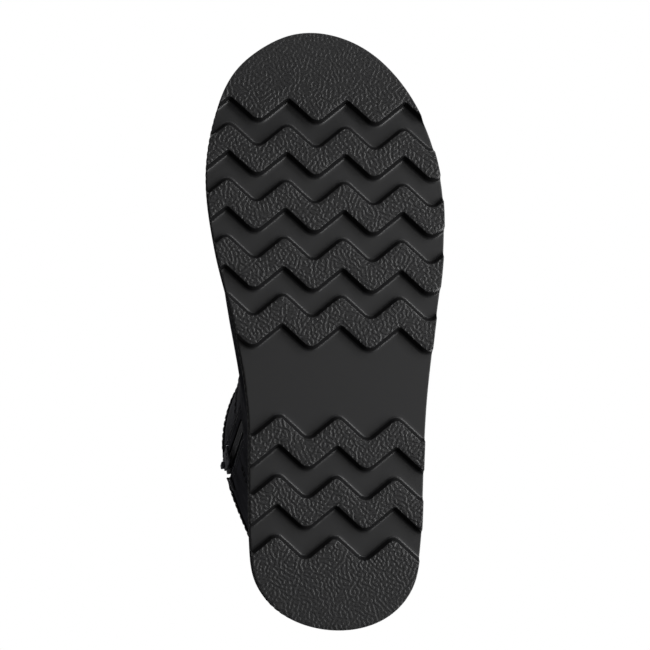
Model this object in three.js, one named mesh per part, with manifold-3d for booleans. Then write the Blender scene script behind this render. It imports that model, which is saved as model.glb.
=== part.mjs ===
// A left zip-up winter boot: a moulded chevron sole, a suede upper sewn from six panels, a fleece
// lining and a zip on the inner side of the ankle. Millimetres, +Y to the toe, +X to the inner
// (medial) side, +Z up. Heights count from the ground, lengths from the back of the heel.
import * as THREE from "three";
import { mergeVertices } from "three/addons/utils/BufferGeometryUtils.js";
import Module from "manifold-3d";

const wasm = await Module();
wasm.setup();

// ---- Driving dimensions ------------------------------------------------------------------------

const GAP = 0.3; // between pieces that touch
const PLY_GAP = 0.8; // between the curved plies of the upper

// The last: its lengths, widths and shaft heights are graded from these three sizes.
const SOLE_LENGTH = 269.7;
const BALL_WIDTH = 107.9;
const BOOT_HEIGHT = 185; // ground to the top edge of the leather
const BASE_LENGTH = 269.7; // the size that the last below is drawn for
const BASE_WIDTH = 107.9;
const BASE_HEIGHT = 185;
const ANKLE_HEIGHT = 68; // shaft heights are graded above this

// Sole
const HEEL_THICKNESS = 29.5;
const FOREFOOT_THICKNESS = 21;
const OUTSOLE_THICKNESS = 9.4; // rubber tread plate, ribs included
const TOE_SPRING = 12;
const SPRING_START = 0.73 * SOLE_LENGTH;
const TREAD_DEPTH = 4.6;
const TREAD_WALL_RUN = 2.1; // how far a drafted groove wall leans, along Y
const ZIG_PERIOD = 26.4;
const ZIG_HEIGHT = 9.8; // peak to valley of the zigzag
const ZIG_PEAK_X = 1.7;
const GROOVE_WIDTH = 13.7;
const FRONT_GROOVES = 4;
const FRONT_GROOVE_PITCH = 25.5;
const FRONT_GROOVE_FROM_TOE = 31.3; // toe tip to the first groove's front edge, at a peak
const HEEL_GROOVES = 2;
const HEEL_GROOVE_PITCH = 27;
const HEEL_GROOVE_WIDTH = 15.1;
const HEEL_GROOVE_FROM_BACK = 40.5; // back of the heel to the last groove's rear edge
const RIB_BESIDE_ARCH = 11.9; // the ribs on each side of the smooth arch
const SHANK = { length: 104, width: 20, thickness: 1.6, fromHeel: 60 };
const HEEL_CUSHION = { length: 42, width: 34, depth: 11, fromHeel: 14 };

// Upper, as depths below (-) or heights above (+) its outer surface
const UPPER_INSET = 4; // sole edge to the upper
const LEATHER = 1.8;
const STIFFENER = 1.1;
const LINING = 3;
const BAND_THICKNESS = 2.3;
const BAND_GAP = 0.5; // the band is cemented around the upper
const BAND_TOP = 0.62; // in stations, see below
const STAY_THICKNESS = 1.3;
const STAY_HALF_WIDTH = 8;
const BOARD_THICKNESS = 2;
const FOOTBED_THICKNESS = 6;
const COLLAR_RISE = 4.2;
const TAB_THICKNESS = 1.4;
const TAB_HALF_WIDTH = 9;
const TAB_LEAF = 20;
const TAB_RISE = 10; // straight part of the loop above the leather

// Zip
const ZIP_BOTTOM_HEIGHT = 88;
const ZIP_TOP_MARGIN = 5; // chain end to the top edge of the leather, in height
const ZIP_SLOPE_BACK = 0.2; // mm back for each mm up
const ZIP_TOP_Y = 72.2; // at the top edge
const TAPE_HALF = 13;
const TAPE_THICKNESS = 0.7;
const GUARD_HALF = 16;
const GUARD_THICKNESS = 1.2;
const LINING_SLOT_HALF = 9;
const TEETH_PITCH = 3;
const TOOTH_LENGTH = 1.1;
const CHAIN_HALF = 2.4;
const SPINE_WIDTH = 0.9;
const CHAIN_TOP = -0.55;
const CHAIN_BOTTOM = -LEATHER + 0.05;
const SLIDER_PLAY = 0.35; // chain to the slider's flanges
const SLIDER = { length: 12, flange: 1.15, plate: 1, bridgeHalf: 1.1, bridgeHeadroom: 0.35, bridgeTop: 0.8 };
const SLIDER_HALF = CHAIN_HALF + SLIDER_PLAY + SLIDER.flange;
const SLOT_HALF = SLIDER_HALF + 0.5;
const PULLER = { pin: 0.6, arm: 1.3, neck: 8, length: 20, half: 4, thickness: 1.1 };
const PULLER_INNER = SLIDER.bridgeHalf + 0.6;
const BRIDGE_RISE = 2 * (PULLER.pin + SLIDER.bridgeHeadroom);
const SNAP = { radius: 3.6, hole: 1.5, thickness: 1.2, behindZip: 10, belowTop: 12 };

// ---- Small tools -------------------------------------------------------------------------------

const DEG = Math.PI / 180;
const lerp = THREE.MathUtils.lerp;
const smooth = (from, to, x) => THREE.MathUtils.smoothstep(x, from, to);
const along = (y) => (y * SOLE_LENGTH) / BASE_LENGTH;
const across = (x) => (x * BALL_WIDTH) / BASE_WIDTH;
const upShaft = (z) =>
  z < ANKLE_HEIGHT
    ? z
    : ANKLE_HEIGHT + ((z - ANKLE_HEIGHT) * (BOOT_HEIGHT - ANKLE_HEIGHT)) / (BASE_HEIGHT - ANKLE_HEIGHT);

// Catmull-Rom weight of four neighbours.
function spline(a, b, c, d, t) {
  return 0.5 * (2 * b + (c - a) * t + (2 * a - 5 * b + 4 * c - d) * t * t + (3 * b - a - 3 * c + d) * t ** 3);
}

function closedSolid(geometry) {
  const bare = geometry.clone();
  bare.deleteAttribute("normal");
  bare.deleteAttribute("uv");
  const merged = mergeVertices(bare, 1e-4);
  return new wasm.Manifold(
    new wasm.Mesh({
      numProp: 3,
      vertProperties: new Float32Array(merged.attributes.position.array),
      triVerts: new Uint32Array(merged.index.array),
    }),
  );
}

function geometryOf(solid) {
  const mesh = solid.getMesh();
  const position = new Float32Array(mesh.numVert * 3);
  for (let i = 0; i < mesh.numVert; i++) {
    for (let k = 0; k < 3; k++) position[3 * i + k] = mesh.vertProperties[mesh.numProp * i + k];
  }
  const geometry = new THREE.BufferGeometry();
  geometry.setAttribute("position", new THREE.BufferAttribute(position, 3));
  geometry.setIndex(new THREE.BufferAttribute(new Uint32Array(mesh.triVerts), 1));
  return geometry;
}

// The closed solid between two grids of points, outer(i, j) and inner(i, j). keep(i, j) says which
// cells it has, and ring joins the last column to the first.
function between(columns, rows, outer, inner, { ring = false, keep = () => true } = {}) {
  const wide = ring ? columns : columns + 1;
  const points = [];
  for (const side of [outer, inner]) {
    for (let i = 0; i < wide; i++) {
      for (let j = 0; j <= rows; j++) points.push(...side(i, j));
    }
  }
  const half = wide * (rows + 1);
  const at = (i, j) => (i % wide) * (rows + 1) + j;
  const has = (i, j) => {
    if (j < 0 || j >= rows) return false;
    if (ring) return keep((i + columns) % columns, j);
    return i >= 0 && i < columns && keep(i, j);
  };
  const faces = [];
  const quad = (a, b, c, d) => faces.push(a, b, c, a, c, d);
  for (let i = 0; i < columns; i++) {
    for (let j = 0; j < rows; j++) {
      if (!has(i, j)) continue;
      const [a, b, c, d] = [at(i, j), at(i + 1, j), at(i + 1, j + 1), at(i, j + 1)];
      quad(a, b, c, d);
      quad(d + half, c + half, b + half, a + half);
      if (!has(i, j - 1)) quad(b, a, a + half, b + half);
      if (!has(i + 1, j)) quad(c, b, b + half, c + half);
      if (!has(i, j + 1)) quad(d, c, c + half, d + half);
      if (!has(i - 1, j)) quad(a, d, d + half, a + half);
    }
  }
  const geometry = new THREE.BufferGeometry();
  geometry.setAttribute("position", new THREE.Float32BufferAttribute(points, 3));
  geometry.setIndex(faces);
  if (volumeOf(geometry) < 0) geometry.setIndex(faces.reverse());
  // Cells that are left out leave unused points behind; a round trip drops them.
  return geometryOf(closedSolid(geometry));
}

function volumeOf(geometry) {
  const p = geometry.attributes.position;
  const corner = (k) => new THREE.Vector3().fromBufferAttribute(p, geometry.index.getX(k));
  let volume = 0;
  for (let f = 0; f < geometry.index.count; f += 3) {
    volume += corner(f).dot(corner(f + 1).cross(corner(f + 2))) / 6;
  }
  return volume;
}

// A flat outline in (Y, Z), drawn out along X.
function acrossBoot(points, x0, x1) {
  const shape = new THREE.Shape(points.map(([y, z]) => new THREE.Vector2(y, z)));
  const geometry = new THREE.ExtrudeGeometry(shape, { depth: x1 - x0, bevelEnabled: false });
  const turn = new THREE.Matrix4().makeBasis(
    new THREE.Vector3(0, 1, 0), new THREE.Vector3(0, 0, 1), new THREE.Vector3(1, 0, 0));
  return geometry.applyMatrix4(turn).translate(x0, 0, 0);
}

// ---- Sole outline and side view ----------------------------------------------------------------

// Half widths of the sole, each divided by the sine of its angle, every 15 degrees from the toe
// (0) to the heel (180): the lengthwise place is half the length times 1 + cos(angle).
const INNER_FULLNESS = [70, 68.5, 70.2, 65, 59, 49.9, 40.6, 37.1, 41.8, 52, 67.5, 78.5, 82];
const OUTER_FULLNESS = [72, 73.4, 71, 68, 63.5, 56.7, 49.5, 46.1, 48.4, 56.1, 68.3, 77, 81];
const TOE_SWING = 8.55; // the sole's centre line leans inwards by twice this from heel to toe

function fullness(table, angle) {
  const last = table.length - 1;
  const step = Math.abs(angle / (15 * DEG));
  const k = Math.min(Math.floor(step), last - 1);
  const pick = (i) => table[i < 0 ? -i : i > last ? 2 * last - i : i];
  return spline(pick(k - 1), pick(k), pick(k + 1), pick(k + 2), step - k);
}

// Angles run from 0 at the toe, plus to the inner side, to 180 degrees at the heel.
function edgeAt(angle) {
  const c = Math.cos(angle);
  const s = Math.sin(angle);
  const table = s >= 0 ? INNER_FULLNESS : OUTER_FULLNESS;
  const wrapped = Math.acos(THREE.MathUtils.clamp(c, -1, 1));
  return new THREE.Vector2(
    across(TOE_SWING * (1 + c) + s * fullness(table, wrapped)),
    (SOLE_LENGTH / 2) * (1 + c),
  );
}

// The sole's edge, moved in by an inset square to itself.
function outlineAt(angle, inset) {
  const tangent = edgeAt(angle + 0.01).sub(edgeAt(angle - 0.01)).normalize();
  return edgeAt(angle).add(new THREE.Vector2(-tangent.y, tangent.x).multiplyScalar(-inset));
}

const springRadius = ((SOLE_LENGTH - SPRING_START) ** 2 + TOE_SPRING ** 2) / (2 * TOE_SPRING);
const springAt = (y) =>
  y > SPRING_START ? springRadius - Math.sqrt(springRadius ** 2 - (y - SPRING_START) ** 2) : 0;
const plateTopAt = (y) => springAt(y) + OUTSOLE_THICKNESS;
const soleTopAt = (y) =>
  springAt(y) + lerp(HEEL_THICKNESS, FOREFOOT_THICKNESS, smooth(0.17 * SOLE_LENGTH, 0.7 * SOLE_LENGTH, y));

// A layer of the bottom: the sole's outline, moved in, between two side-view curves.
function layer(inset, bottomAt, topAt, segments = 64) {
  const outline = new THREE.Shape(
    Array.from({ length: segments }, (_, i) => outlineAt((i * 2 * Math.PI) / segments, inset)));
  const prism = new THREE.ExtrudeGeometry(outline, { depth: 200, bevelEnabled: false });
  prism.translate(0, 0, -50);
  const stations = Array.from({ length: 29 }, (_, i) => lerp(-4, SOLE_LENGTH + 1, i / 28));
  const side = [
    ...stations.map((y) => [y, bottomAt(y)]),
    ...stations.map((y) => [y, topAt(y)]).reverse(),
  ];
  return closedSolid(prism).intersect(closedSolid(acrossBoot(side, -150, 150)));
}

// Depths of the upper's plies below its outer surface
const stiffenerTop = -LEATHER - PLY_GAP;
const liningTop = stiffenerTop - STIFFENER - PLY_GAP;
const liningFoot = liningTop - LINING;

// ---- Bottom pieces -----------------------------------------------------------------------------

// One groove across the sole: a zigzag with drafted walls, wider at its mouth than at its floor.
function grooveCutter(frontY, rearY) {
  const peaks = 9;
  const firstX = ZIG_PEAK_X - peaks * (ZIG_PERIOD / 2);
  const zig = (i) => ((i + peaks) % 2 ? -ZIG_HEIGHT : 0);
  const middle = (frontY + rearY) / 2;
  const slope = Math.atan((springAt(middle + 1) - springAt(middle - 1)) / 2);
  const point = (i, j, z) => {
    const lean = (TREAD_WALL_RUN * z) / TREAD_DEPTH;
    const y = (j ? frontY - lean : rearY + lean) + zig(i);
    return [firstX + (i * ZIG_PERIOD) / 2, y, z];
  };
  const cutter = between(2 * peaks, 1, (i, j) => point(i, j, -3), (i, j) => point(i, j, TREAD_DEPTH));
  cutter.translate(0, -middle, 0).rotateX(slope).translate(0, middle, springAt(middle));
  return closedSolid(cutter);
}

function outsole() {
  let solid = layer(0, springAt, plateTopAt);
  const firstFront = SOLE_LENGTH - FRONT_GROOVE_FROM_TOE;
  for (let g = 0; g < FRONT_GROOVES; g++) {
    const front = firstFront - g * FRONT_GROOVE_PITCH;
    solid = solid.subtract(grooveCutter(front, front - GROOVE_WIDTH));
  }
  for (let g = 0; g < HEEL_GROOVES; g++) {
    const rear = HEEL_GROOVE_FROM_BACK + g * HEEL_GROOVE_PITCH;
    solid = solid.subtract(grooveCutter(rear + HEEL_GROOVE_WIDTH, rear));
  }
  const archFront = firstFront - (FRONT_GROOVES - 1) * FRONT_GROOVE_PITCH - GROOVE_WIDTH - RIB_BESIDE_ARCH;
  const lastHeelFront = HEEL_GROOVE_FROM_BACK + (HEEL_GROOVES - 1) * HEEL_GROOVE_PITCH + HEEL_GROOVE_WIDTH;
  const archRear = lastHeelFront + RIB_BESIDE_ARCH;
  return geometryOf(solid.subtract(grooveCutter(archFront, archRear)));
}

const shankEnd = SHANK.fromHeel + SHANK.length;

// A strip that lies a set depth below the top of the midsole.
function strip(fromY, toY, x0, x1, depth, thickness) {
  const steps = Array.from({ length: 9 }, (_, i) => lerp(fromY, toY, i / 8));
  return acrossBoot(
    [
      ...steps.map((y) => [y, soleTopAt(y) - depth - thickness]),
      ...steps.map((y) => [y, soleTopAt(y) - depth]).reverse(),
    ], x0, x1);
}

const shankX = (y) => across((TOE_SWING * 2 * y) / SOLE_LENGTH);
const shankMiddle = shankX(SHANK.fromHeel + SHANK.length / 2);
const shank = () =>
  strip(SHANK.fromHeel, shankEnd, shankMiddle - SHANK.width / 2, shankMiddle + SHANK.width / 2,
    GAP, SHANK.thickness);

function heelCushion(grow, top) {
  const bottom = HEEL_THICKNESS - GAP - HEEL_CUSHION.depth - grow;
  const shape = new THREE.Shape();
  shape.absellipse(across(1.5), HEEL_CUSHION.fromHeel + HEEL_CUSHION.length / 2,
    HEEL_CUSHION.width / 2 + grow, HEEL_CUSHION.length / 2 + grow, 0, 2 * Math.PI, false, 0);
  const depth = top - bottom;
  return new THREE.ExtrudeGeometry(shape, { depth, bevelEnabled: false, curveSegments: 14 })
    .translate(0, 0, bottom);
}

function midsole() {
  const half = SHANK.width / 2 + GAP;
  const pocket = strip(SHANK.fromHeel - GAP, shankEnd + GAP, shankMiddle - half, shankMiddle + half,
    -2, SHANK.thickness + 2 + 2 * GAP);
  const well = heelCushion(GAP, HEEL_THICKNESS + 5);
  return geometryOf(
    layer(0, (y) => plateTopAt(y) + GAP, soleTopAt)
      .subtract(closedSolid(pocket))
      .subtract(closedSolid(well)),
  );
}

const boardInset = UPPER_INSET + LEATHER + 3 * GAP;
const boardTopAt = (y) => soleTopAt(y) + GAP + BOARD_THICKNESS;
const insoleBoard = () => geometryOf(layer(boardInset, (y) => soleTopAt(y) + GAP, boardTopAt, 48));

const footbedInset = -liningFoot + UPPER_INSET + 4 * GAP;
const footbed = () =>
  geometryOf(layer(footbedInset, (y) => boardTopAt(y) + GAP, (y) => boardTopAt(y) + GAP + FOOTBED_THICKNESS, 48));

// ---- The upper's surface -----------------------------------------------------------------------

// Nine stations lead from the feather edge on the sole (0) to the top edge (8). Each is a closed
// loop around the foot, given by its front and rear ends, its widest place on each side, and how
// much it still looks like the sole's outline.
const SIDE = { topX: 47.5, slopeOut: 0.043, topY: 86, slopeBack: 0.17 }; // the widest line of the shaft
const sideX = (z) => SIDE.topX - SIDE.slopeOut * (BASE_HEIGHT - z);
const sideYOf = (z) => SIDE.topY + SIDE.slopeBack * (BASE_HEIGHT - z);
const STATIONS = [
  { front: [265.7, 33], rear: [4, 30], side: [134.8, 25], inner: 0, outer: 0, sole: 1, inset: 0 },
  { front: [266.4, 45], rear: [2.8, 44], side: [134.8, 39], inner: 0, outer: 0, sole: 1, inset: -0.4 },
  { front: [261, 59.5], rear: [2.2, 60], side: [112, 54], inner: 44.3, outer: -39.4, sole: 0.9 },
  { front: [241, 71.5], rear: [3.6, 78], side: null, height: 68, outer: -38.9, sole: 0.5 },
  { front: [212, 80], rear: [6.6, 96], side: null, height: 84, outer: -38.8, sole: 0.14 },
  { front: [184.5, 90.5], rear: [9, 115], side: null, height: 101, outer: -39.2, sole: 0 },
  { front: [160.5, 107], rear: [9.6, 134], side: null, height: 122, outer: -40.2, sole: 0 },
  { front: [144.5, 137], rear: [7.8, 157.5], side: null, height: 151, outer: -41.8, sole: 0 },
  { front: [137.5, 185], rear: [4.4, 186], side: null, height: 185, outer: -43.6, sole: 0 },
];
const TOP = STATIONS.length - 1;
const SHAFT_CENTRE = 1.8;
const SQUARENESS = 0.93;
const PINCH = 0.2; // how much the flanks draw in beside the heel tendon

function onStation(k, angle) {
  const st = STATIONS[k];
  const c = Math.cos(angle);
  const s = Math.sin(angle);
  const end = c >= 0 ? st.front : st.rear;
  if (st.inset !== undefined) {
    const p = outlineAt(angle, UPPER_INSET + st.inset);
    const rise = lerp(st.side[1], end[1], c * c);
    return new THREE.Vector3(p.x, p.y, k ? rise + soleTopAt(p.y) - lerp(25, end[1] - 13, c * c) : soleTopAt(p.y) + GAP);
  }
  const [sideY, sideZ] = st.side ?? [sideYOf(st.height), st.height];
  const middle = lerp(SHAFT_CENTRE, TOE_SWING, st.sole);
  const table = s >= 0 ? INNER_FULLNESS : OUTER_FULLNESS;
  const inner = st.inner ?? sideX(st.height);
  const reach = s >= 0 ? inner - middle : middle - st.outer;
  const wrapped = Math.acos(THREE.MathUtils.clamp(c, -1, 1));
  const soleLike = (Math.abs(s) * fullness(table, wrapped)) / fullness(table, Math.PI / 2);
  const round = Math.abs(s) ** SQUARENESS;
  const pinch = c < 0 ? PINCH * (1 - st.sole) * Math.sin(2 * angle) ** 2 : 0;
  const x = middle + TOE_SWING * st.sole * c + Math.sign(s) * reach * lerp(round, soleLike, st.sole) * (1 - pinch);
  const y = sideY + Math.abs(end[0] - sideY) * c;
  return new THREE.Vector3(across(x), along(y), upShaft(lerp(sideZ, end[1], c * c)));
}

function onUpper(t, angle) {
  const k = THREE.MathUtils.clamp(Math.floor(t), 0, TOP - 1);
  const here = onStation(k, angle);
  const next = onStation(k + 1, angle);
  const before = k > 0 ? onStation(k - 1, angle) : here.clone().multiplyScalar(2).sub(next);
  const after = k < TOP - 1 ? onStation(k + 2, angle) : next.clone().multiplyScalar(2).sub(here);
  const mix = (axis) => spline(before[axis], here[axis], next[axis], after[axis], t - k);
  return new THREE.Vector3(mix("x"), mix("y"), mix("z"));
}

function outwards(t, angle) {
  const around = onUpper(t, angle + 0.004).sub(onUpper(t, angle - 0.004));
  const upwards = onUpper(t + 0.01, angle).sub(onUpper(t - 0.01, angle));
  return upwards.cross(around).normalize();
}

// A point off the surface, kept above the sole that the upper stands on.
function offUpper(t, angle, height) {
  const point = onUpper(t, angle).addScaledVector(outwards(t, angle), height);
  point.z = Math.max(point.z, soleTopAt(point.y) + GAP);
  return point;
}

// The angle that lies a distance (mm, plus to the toe) from a line at another angle.
function beside(t, angle, distance) {
  const step = distance > 0 ? -0.01 : 0.01;
  const perRadian = onUpper(t, angle + step).distanceTo(onUpper(t, angle)) / 0.01;
  return angle - distance / perRadian;
}

// A panel of the upper between two depths. bounds(t) gives the angles of its upright lines, cells
// says how many columns lie between them, and rows are the stations of its cross lines.
function panel(bounds, cells, rows, high, low, options = {}) {
  const starts = cells.map((_, i) => cells.slice(0, i).reduce((a, b) => a + b, 0));
  const columns = cells.reduce((a, b) => a + b, 0);
  const angleAt = (i, t) => {
    const lines = bounds(t);
    const part = i >= columns ? cells.length - 1 : starts.findLastIndex((first) => first <= i);
    return lerp(lines[part], lines[part + 1], (i - starts[part]) / cells[part]);
  };
  const grid = (height) => (i, j) => offUpper(rows[j], angleAt(i, rows[j]), height).toArray();
  const keep = options.keep
    ? (i, j) => options.keep(starts.findLastIndex((first) => first <= i), (rows[j] + rows[j + 1]) / 2)
    : undefined;
  return between(columns, rows.length - 1, grid(high), grid(low), { ring: options.ring, ...(keep && { keep }) });
}

const spread = (from, to, steps) => Array.from({ length: steps + 1 }, (_, i) => lerp(from, to, i / steps));

// ---- Zip line ----------------------------------------------------------------------------------

function halved(low, high, isLow) {
  for (let i = 0; i < 40; i++) {
    const middle = (low + high) / 2;
    if (isLow(middle)) low = middle;
    else high = middle;
  }
  return low;
}

// The zip's angle at a station: the line runs straight, leaning back.
const zipY = (z) => along(ZIP_TOP_Y) + ZIP_SLOPE_BACK * (BOOT_HEIGHT - z);
const zipAngles = new Map();
function zipAngle(t) {
  if (!zipAngles.has(t)) {
    zipAngles.set(t, halved(60 * DEG, 150 * DEG, (angle) => {
      const point = onUpper(t, angle);
      return point.y > zipY(point.z);
    }));
  }
  return zipAngles.get(t);
}
const stationAtHeight = (z) => halved(0, TOP, (t) => onUpper(t, zipAngle(t)).z < z);
const onZipLine = (z) => {
  const t = stationAtHeight(z);
  return onUpper(t, zipAngle(t));
};
const zipFoot = onZipLine(ZIP_BOTTOM_HEIGHT);
const zipHead = onZipLine(BOOT_HEIGHT - ZIP_TOP_MARGIN);
const zipUp = zipHead.clone().sub(zipFoot).normalize();
const zipOut = outwards(6.4, zipAngle(6.4));
zipOut.addScaledVector(zipUp, -zipOut.dot(zipUp)).normalize();
const zipFront = new THREE.Vector3().crossVectors(zipUp, zipOut);
const chainLength = zipHead.distanceTo(zipFoot);
const zipFrame = new THREE.Matrix4().makeBasis(zipFront, zipUp, zipOut).setPosition(zipFoot);

// A block on the zip: from b0 to b1 forwards, s0 to s1 up the chain, n0 to n1 outwards.
function zipBlock([b0, b1], [s0, s1], [n0, n1]) {
  return new THREE.BoxGeometry(b1 - b0, s1 - s0, n1 - n0)
    .translate((b0 + b1) / 2, (s0 + s1) / 2, (n0 + n1) / 2)
    .applyMatrix4(zipFrame);
}

const joined = (blocks) => geometryOf(blocks.map(closedSolid).reduce((all, block) => all.add(block)));

const STOP_LENGTH = 2.6;
const SLOT_END = STOP_LENGTH + 5 * GAP; // below the chain
const slotStation = stationAtHeight(ZIP_BOTTOM_HEIGHT - SLOT_END * zipUp.z);

// Half of the chain: a comb, whose teeth reach past the middle between the other half's teeth.
function zipTeeth(side) {
  const root = CHAIN_HALF - SPINE_WIDTH;
  const tip = 0.4 - root;
  const comb = [[CHAIN_HALF, chainLength], [CHAIN_HALF, 0], [root, 0]];
  const offset = side > 0 ? 0.2 : 0.2 + TEETH_PITCH / 2;
  for (let s = offset; s + TOOTH_LENGTH < chainLength; s += TEETH_PITCH) {
    comb.push([root, s], [tip, s], [tip, s + TOOTH_LENGTH], [root, s + TOOTH_LENGTH]);
  }
  comb.push([root, chainLength]);
  const shape = new THREE.Shape(comb.map(([b, s]) => new THREE.Vector2(side * b, s)));
  return new THREE.ExtrudeGeometry(shape, { depth: CHAIN_TOP - CHAIN_BOTTOM, bevelEnabled: false })
    .translate(0, 0, CHAIN_BOTTOM)
    .applyMatrix4(zipFrame);
}

const sliderTop = chainLength - GAP;
const sliderFoot = sliderTop - SLIDER.length;
const sliderMiddle = (sliderTop + sliderFoot) / 2;
const sliderPlate = CHAIN_TOP + 0.35;
const plateTop = sliderPlate + SLIDER.plate;
const bridgeFoot = plateTop + BRIDGE_RISE;

function zipSlider() {
  const { flange, bridgeHalf } = SLIDER;
  const half = SLIDER_HALF;
  const s = [sliderFoot, sliderTop];
  const post = 1.2;
  const bridge = [-bridgeHalf, bridgeHalf];
  const reach = 4.6;
  return joined([
    zipBlock([-half, half], s, [sliderPlate, plateTop]),
    zipBlock([-half, flange - half], s, [CHAIN_BOTTOM + 0.05, sliderPlate + 0.1]),
    zipBlock([half - flange, half], s, [CHAIN_BOTTOM + 0.05, sliderPlate + 0.1]),
    zipBlock(bridge, [sliderMiddle - reach, sliderMiddle - reach + post], [plateTop - 0.1, bridgeFoot + 0.1]),
    zipBlock(bridge, [sliderMiddle + reach - post, sliderMiddle + reach], [plateTop - 0.1, bridgeFoot + 0.1]),
    zipBlock(bridge, [sliderMiddle - reach, sliderMiddle + reach], [bridgeFoot, bridgeFoot + SLIDER.bridgeTop]),
  ]);
}

const hingeOut = plateTop + BRIDGE_RISE / 2;

function zipPuller() {
  const { pin, arm, neck, length, half, thickness } = PULLER;
  const inner = PULLER_INNER;
  const n = [hingeOut - thickness / 2, hingeOut + thickness / 2];
  const neckFoot = sliderMiddle - neck;
  const bar = new THREE.CylinderGeometry(pin, pin, 2 * (inner + 0.3), 12);
  bar.rotateZ(Math.PI / 2).translate(0, sliderMiddle, hingeOut).applyMatrix4(zipFrame);
  const arms = [-1, 1].map((side) =>
    zipBlock(side > 0 ? [inner, inner + arm] : [-inner - arm, -inner], [neckFoot - 0.5, sliderMiddle + pin], n));
  const tab = zipBlock([-half, half], [neckFoot - length, neckFoot], n);
  const window = zipBlock([-1.7, 1.7], [neckFoot - length + 3, neckFoot - length + 11], [n[0] - 1, n[1] + 1]);
  const solid = [bar, ...arms].map(closedSolid).reduce((all, piece) => all.add(piece), closedSolid(tab));
  return geometryOf(solid.subtract(closedSolid(window)));
}

// ---- Upper pieces ------------------------------------------------------------------------------

const VAMP_TOP = 5.6;
const COUNTER_TOP = 3.2;
const SEAM = 0.035; // half of the gap between a lower and an upper panel, in stations
const SEAM_HALF = 0.82; // half of the widest gap between two panels side by side
const SEAM_ANGLE = SEAM_HALF / (SOLE_LENGTH / 2);
const FULL = 2 * Math.PI;
const vampEdge = (t) => lerp(78, 60, t / VAMP_TOP) * DEG;
const heelEdge = (t) => lerp(128, 122, t / VAMP_TOP) * DEG;
const slotFront = (t) => beside(t, zipAngle(t), SLOT_HALF);
const slotRear = (t) => beside(t, zipAngle(t), -SLOT_HALF);
const LATERAL_SEAM = -100 * DEG;
const lowerRows = spread(0, VAMP_TOP - SEAM, 10);

const vamp = () => panel((t) => [-vampEdge(t) + SEAM_ANGLE, vampEdge(t) - SEAM_ANGLE], [26], lowerRows, 0, -LEATHER);

const quarterLateral = () =>
  panel((t) => [-heelEdge(t) + SEAM_ANGLE, -vampEdge(t) - SEAM_ANGLE], [8], lowerRows, 0, -LEATHER);

const quarterMedial = () =>
  panel(
    (t) => [vampEdge(t) + SEAM_ANGLE, slotFront(t), slotRear(t), heelEdge(t) - SEAM_ANGLE],
    [4, 2, 4],
    [...spread(0, slotStation, 7), ...spread(slotStation, VAMP_TOP - SEAM, 4).slice(1)],
    0, -LEATHER,
    { keep: (part, t) => part !== 1 || t < slotStation },
  );

const heelCounter = () =>
  panel((t) => [heelEdge(t) + SEAM_ANGLE, FULL - heelEdge(t) - SEAM_ANGLE], [18], spread(0, COUNTER_TOP - SEAM, 6),
    0, -LEATHER);

const shaftFront = () =>
  panel((t) => [LATERAL_SEAM + SEAM_ANGLE, slotFront(t)], [20], spread(VAMP_TOP + SEAM, TOP, 5), 0, -LEATHER);

const shaftBack = () =>
  panel(
    (t) => [slotRear(t), heelEdge(VAMP_TOP) + SEAM_ANGLE + (heelEdge(Math.min(t, VAMP_TOP)) - heelEdge(VAMP_TOP)),
      FULL - heelEdge(Math.min(t, VAMP_TOP)) - SEAM_ANGLE, FULL + LATERAL_SEAM - SEAM_ANGLE],
    [4, 16, 2],
    [...spread(COUNTER_TOP + SEAM, VAMP_TOP + SEAM, 4), ...spread(VAMP_TOP + SEAM, TOP, 5).slice(1)],
    0, -LEATHER,
    { keep: (part, t) => part === 1 || t > VAMP_TOP + SEAM },
  );

const backStay = () =>
  panel(
    (t) => [beside(t, Math.PI, STAY_HALF_WIDTH), beside(t, Math.PI, -STAY_HALF_WIDTH)], [4],
    spread(COUNTER_TOP + 0.08, TOP - 0.12, 9), GAP + STAY_THICKNESS, GAP);

const foxingBand = () =>
  panel(() => [0, FULL], [64], spread(0, BAND_TOP, 2), BAND_GAP + BAND_THICKNESS, BAND_GAP, { ring: true });

const LINING_START = 0.24;

const toePuff = () =>
  panel(() => [-55 * DEG, 55 * DEG], [18], spread(LINING_START, 2.6, 5), stiffenerTop, stiffenerTop - STIFFENER);

const heelStiffener = () =>
  panel(() => [Math.PI - 60 * DEG, Math.PI + 60 * DEG], [18], spread(LINING_START, 3, 5),
    stiffenerTop, stiffenerTop - STIFFENER);

const lining = () =>
  panel(
    (t) => [beside(t, zipAngle(t), LINING_SLOT_HALF), beside(t, zipAngle(t), -LINING_SLOT_HALF),
      beside(t, zipAngle(t), LINING_SLOT_HALF) + FULL],
    [2, 36],
    [...spread(LINING_START, slotStation - 0.2, 6), ...spread(slotStation - 0.2, TOP - 0.02, 6).slice(1)],
    liningTop, liningFoot,
    { ring: true, keep: (part, t) => part !== 0 || t < slotStation - 0.2 },
  );

const zipTape = (side) =>
  panel(
    (t) => [beside(t, zipAngle(t), side * TAPE_HALF), beside(t, zipAngle(t), side * 0.4)], [4],
    spread(slotStation - 0.12, TOP - 0.03, 7), stiffenerTop, stiffenerTop - TAPE_THICKNESS);

const zipGuard = () =>
  panel(
    (t) => [beside(t, zipAngle(t), GUARD_HALF), beside(t, zipAngle(t), -GUARD_HALF)], [6],
    spread(slotStation - 0.3, TOP - 0.02, 7), liningFoot - PLY_GAP, liningFoot - PLY_GAP - GUARD_THICKNESS);

// A point beside the top edge: height above it (or below, down the surface) and depth off it.
function atTopEdge(angle, rise, height) {
  const perStation = onUpper(TOP, angle).distanceTo(onUpper(TOP - 0.05, angle)) / 0.05;
  const t = TOP + Math.min(rise, 0) / perStation;
  return offUpper(t, angle, height).add(new THREE.Vector3(0, 0, Math.max(rise, 0)));
}

const collarOut = 0.9;
const collarIn = liningFoot - 0.8;

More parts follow.
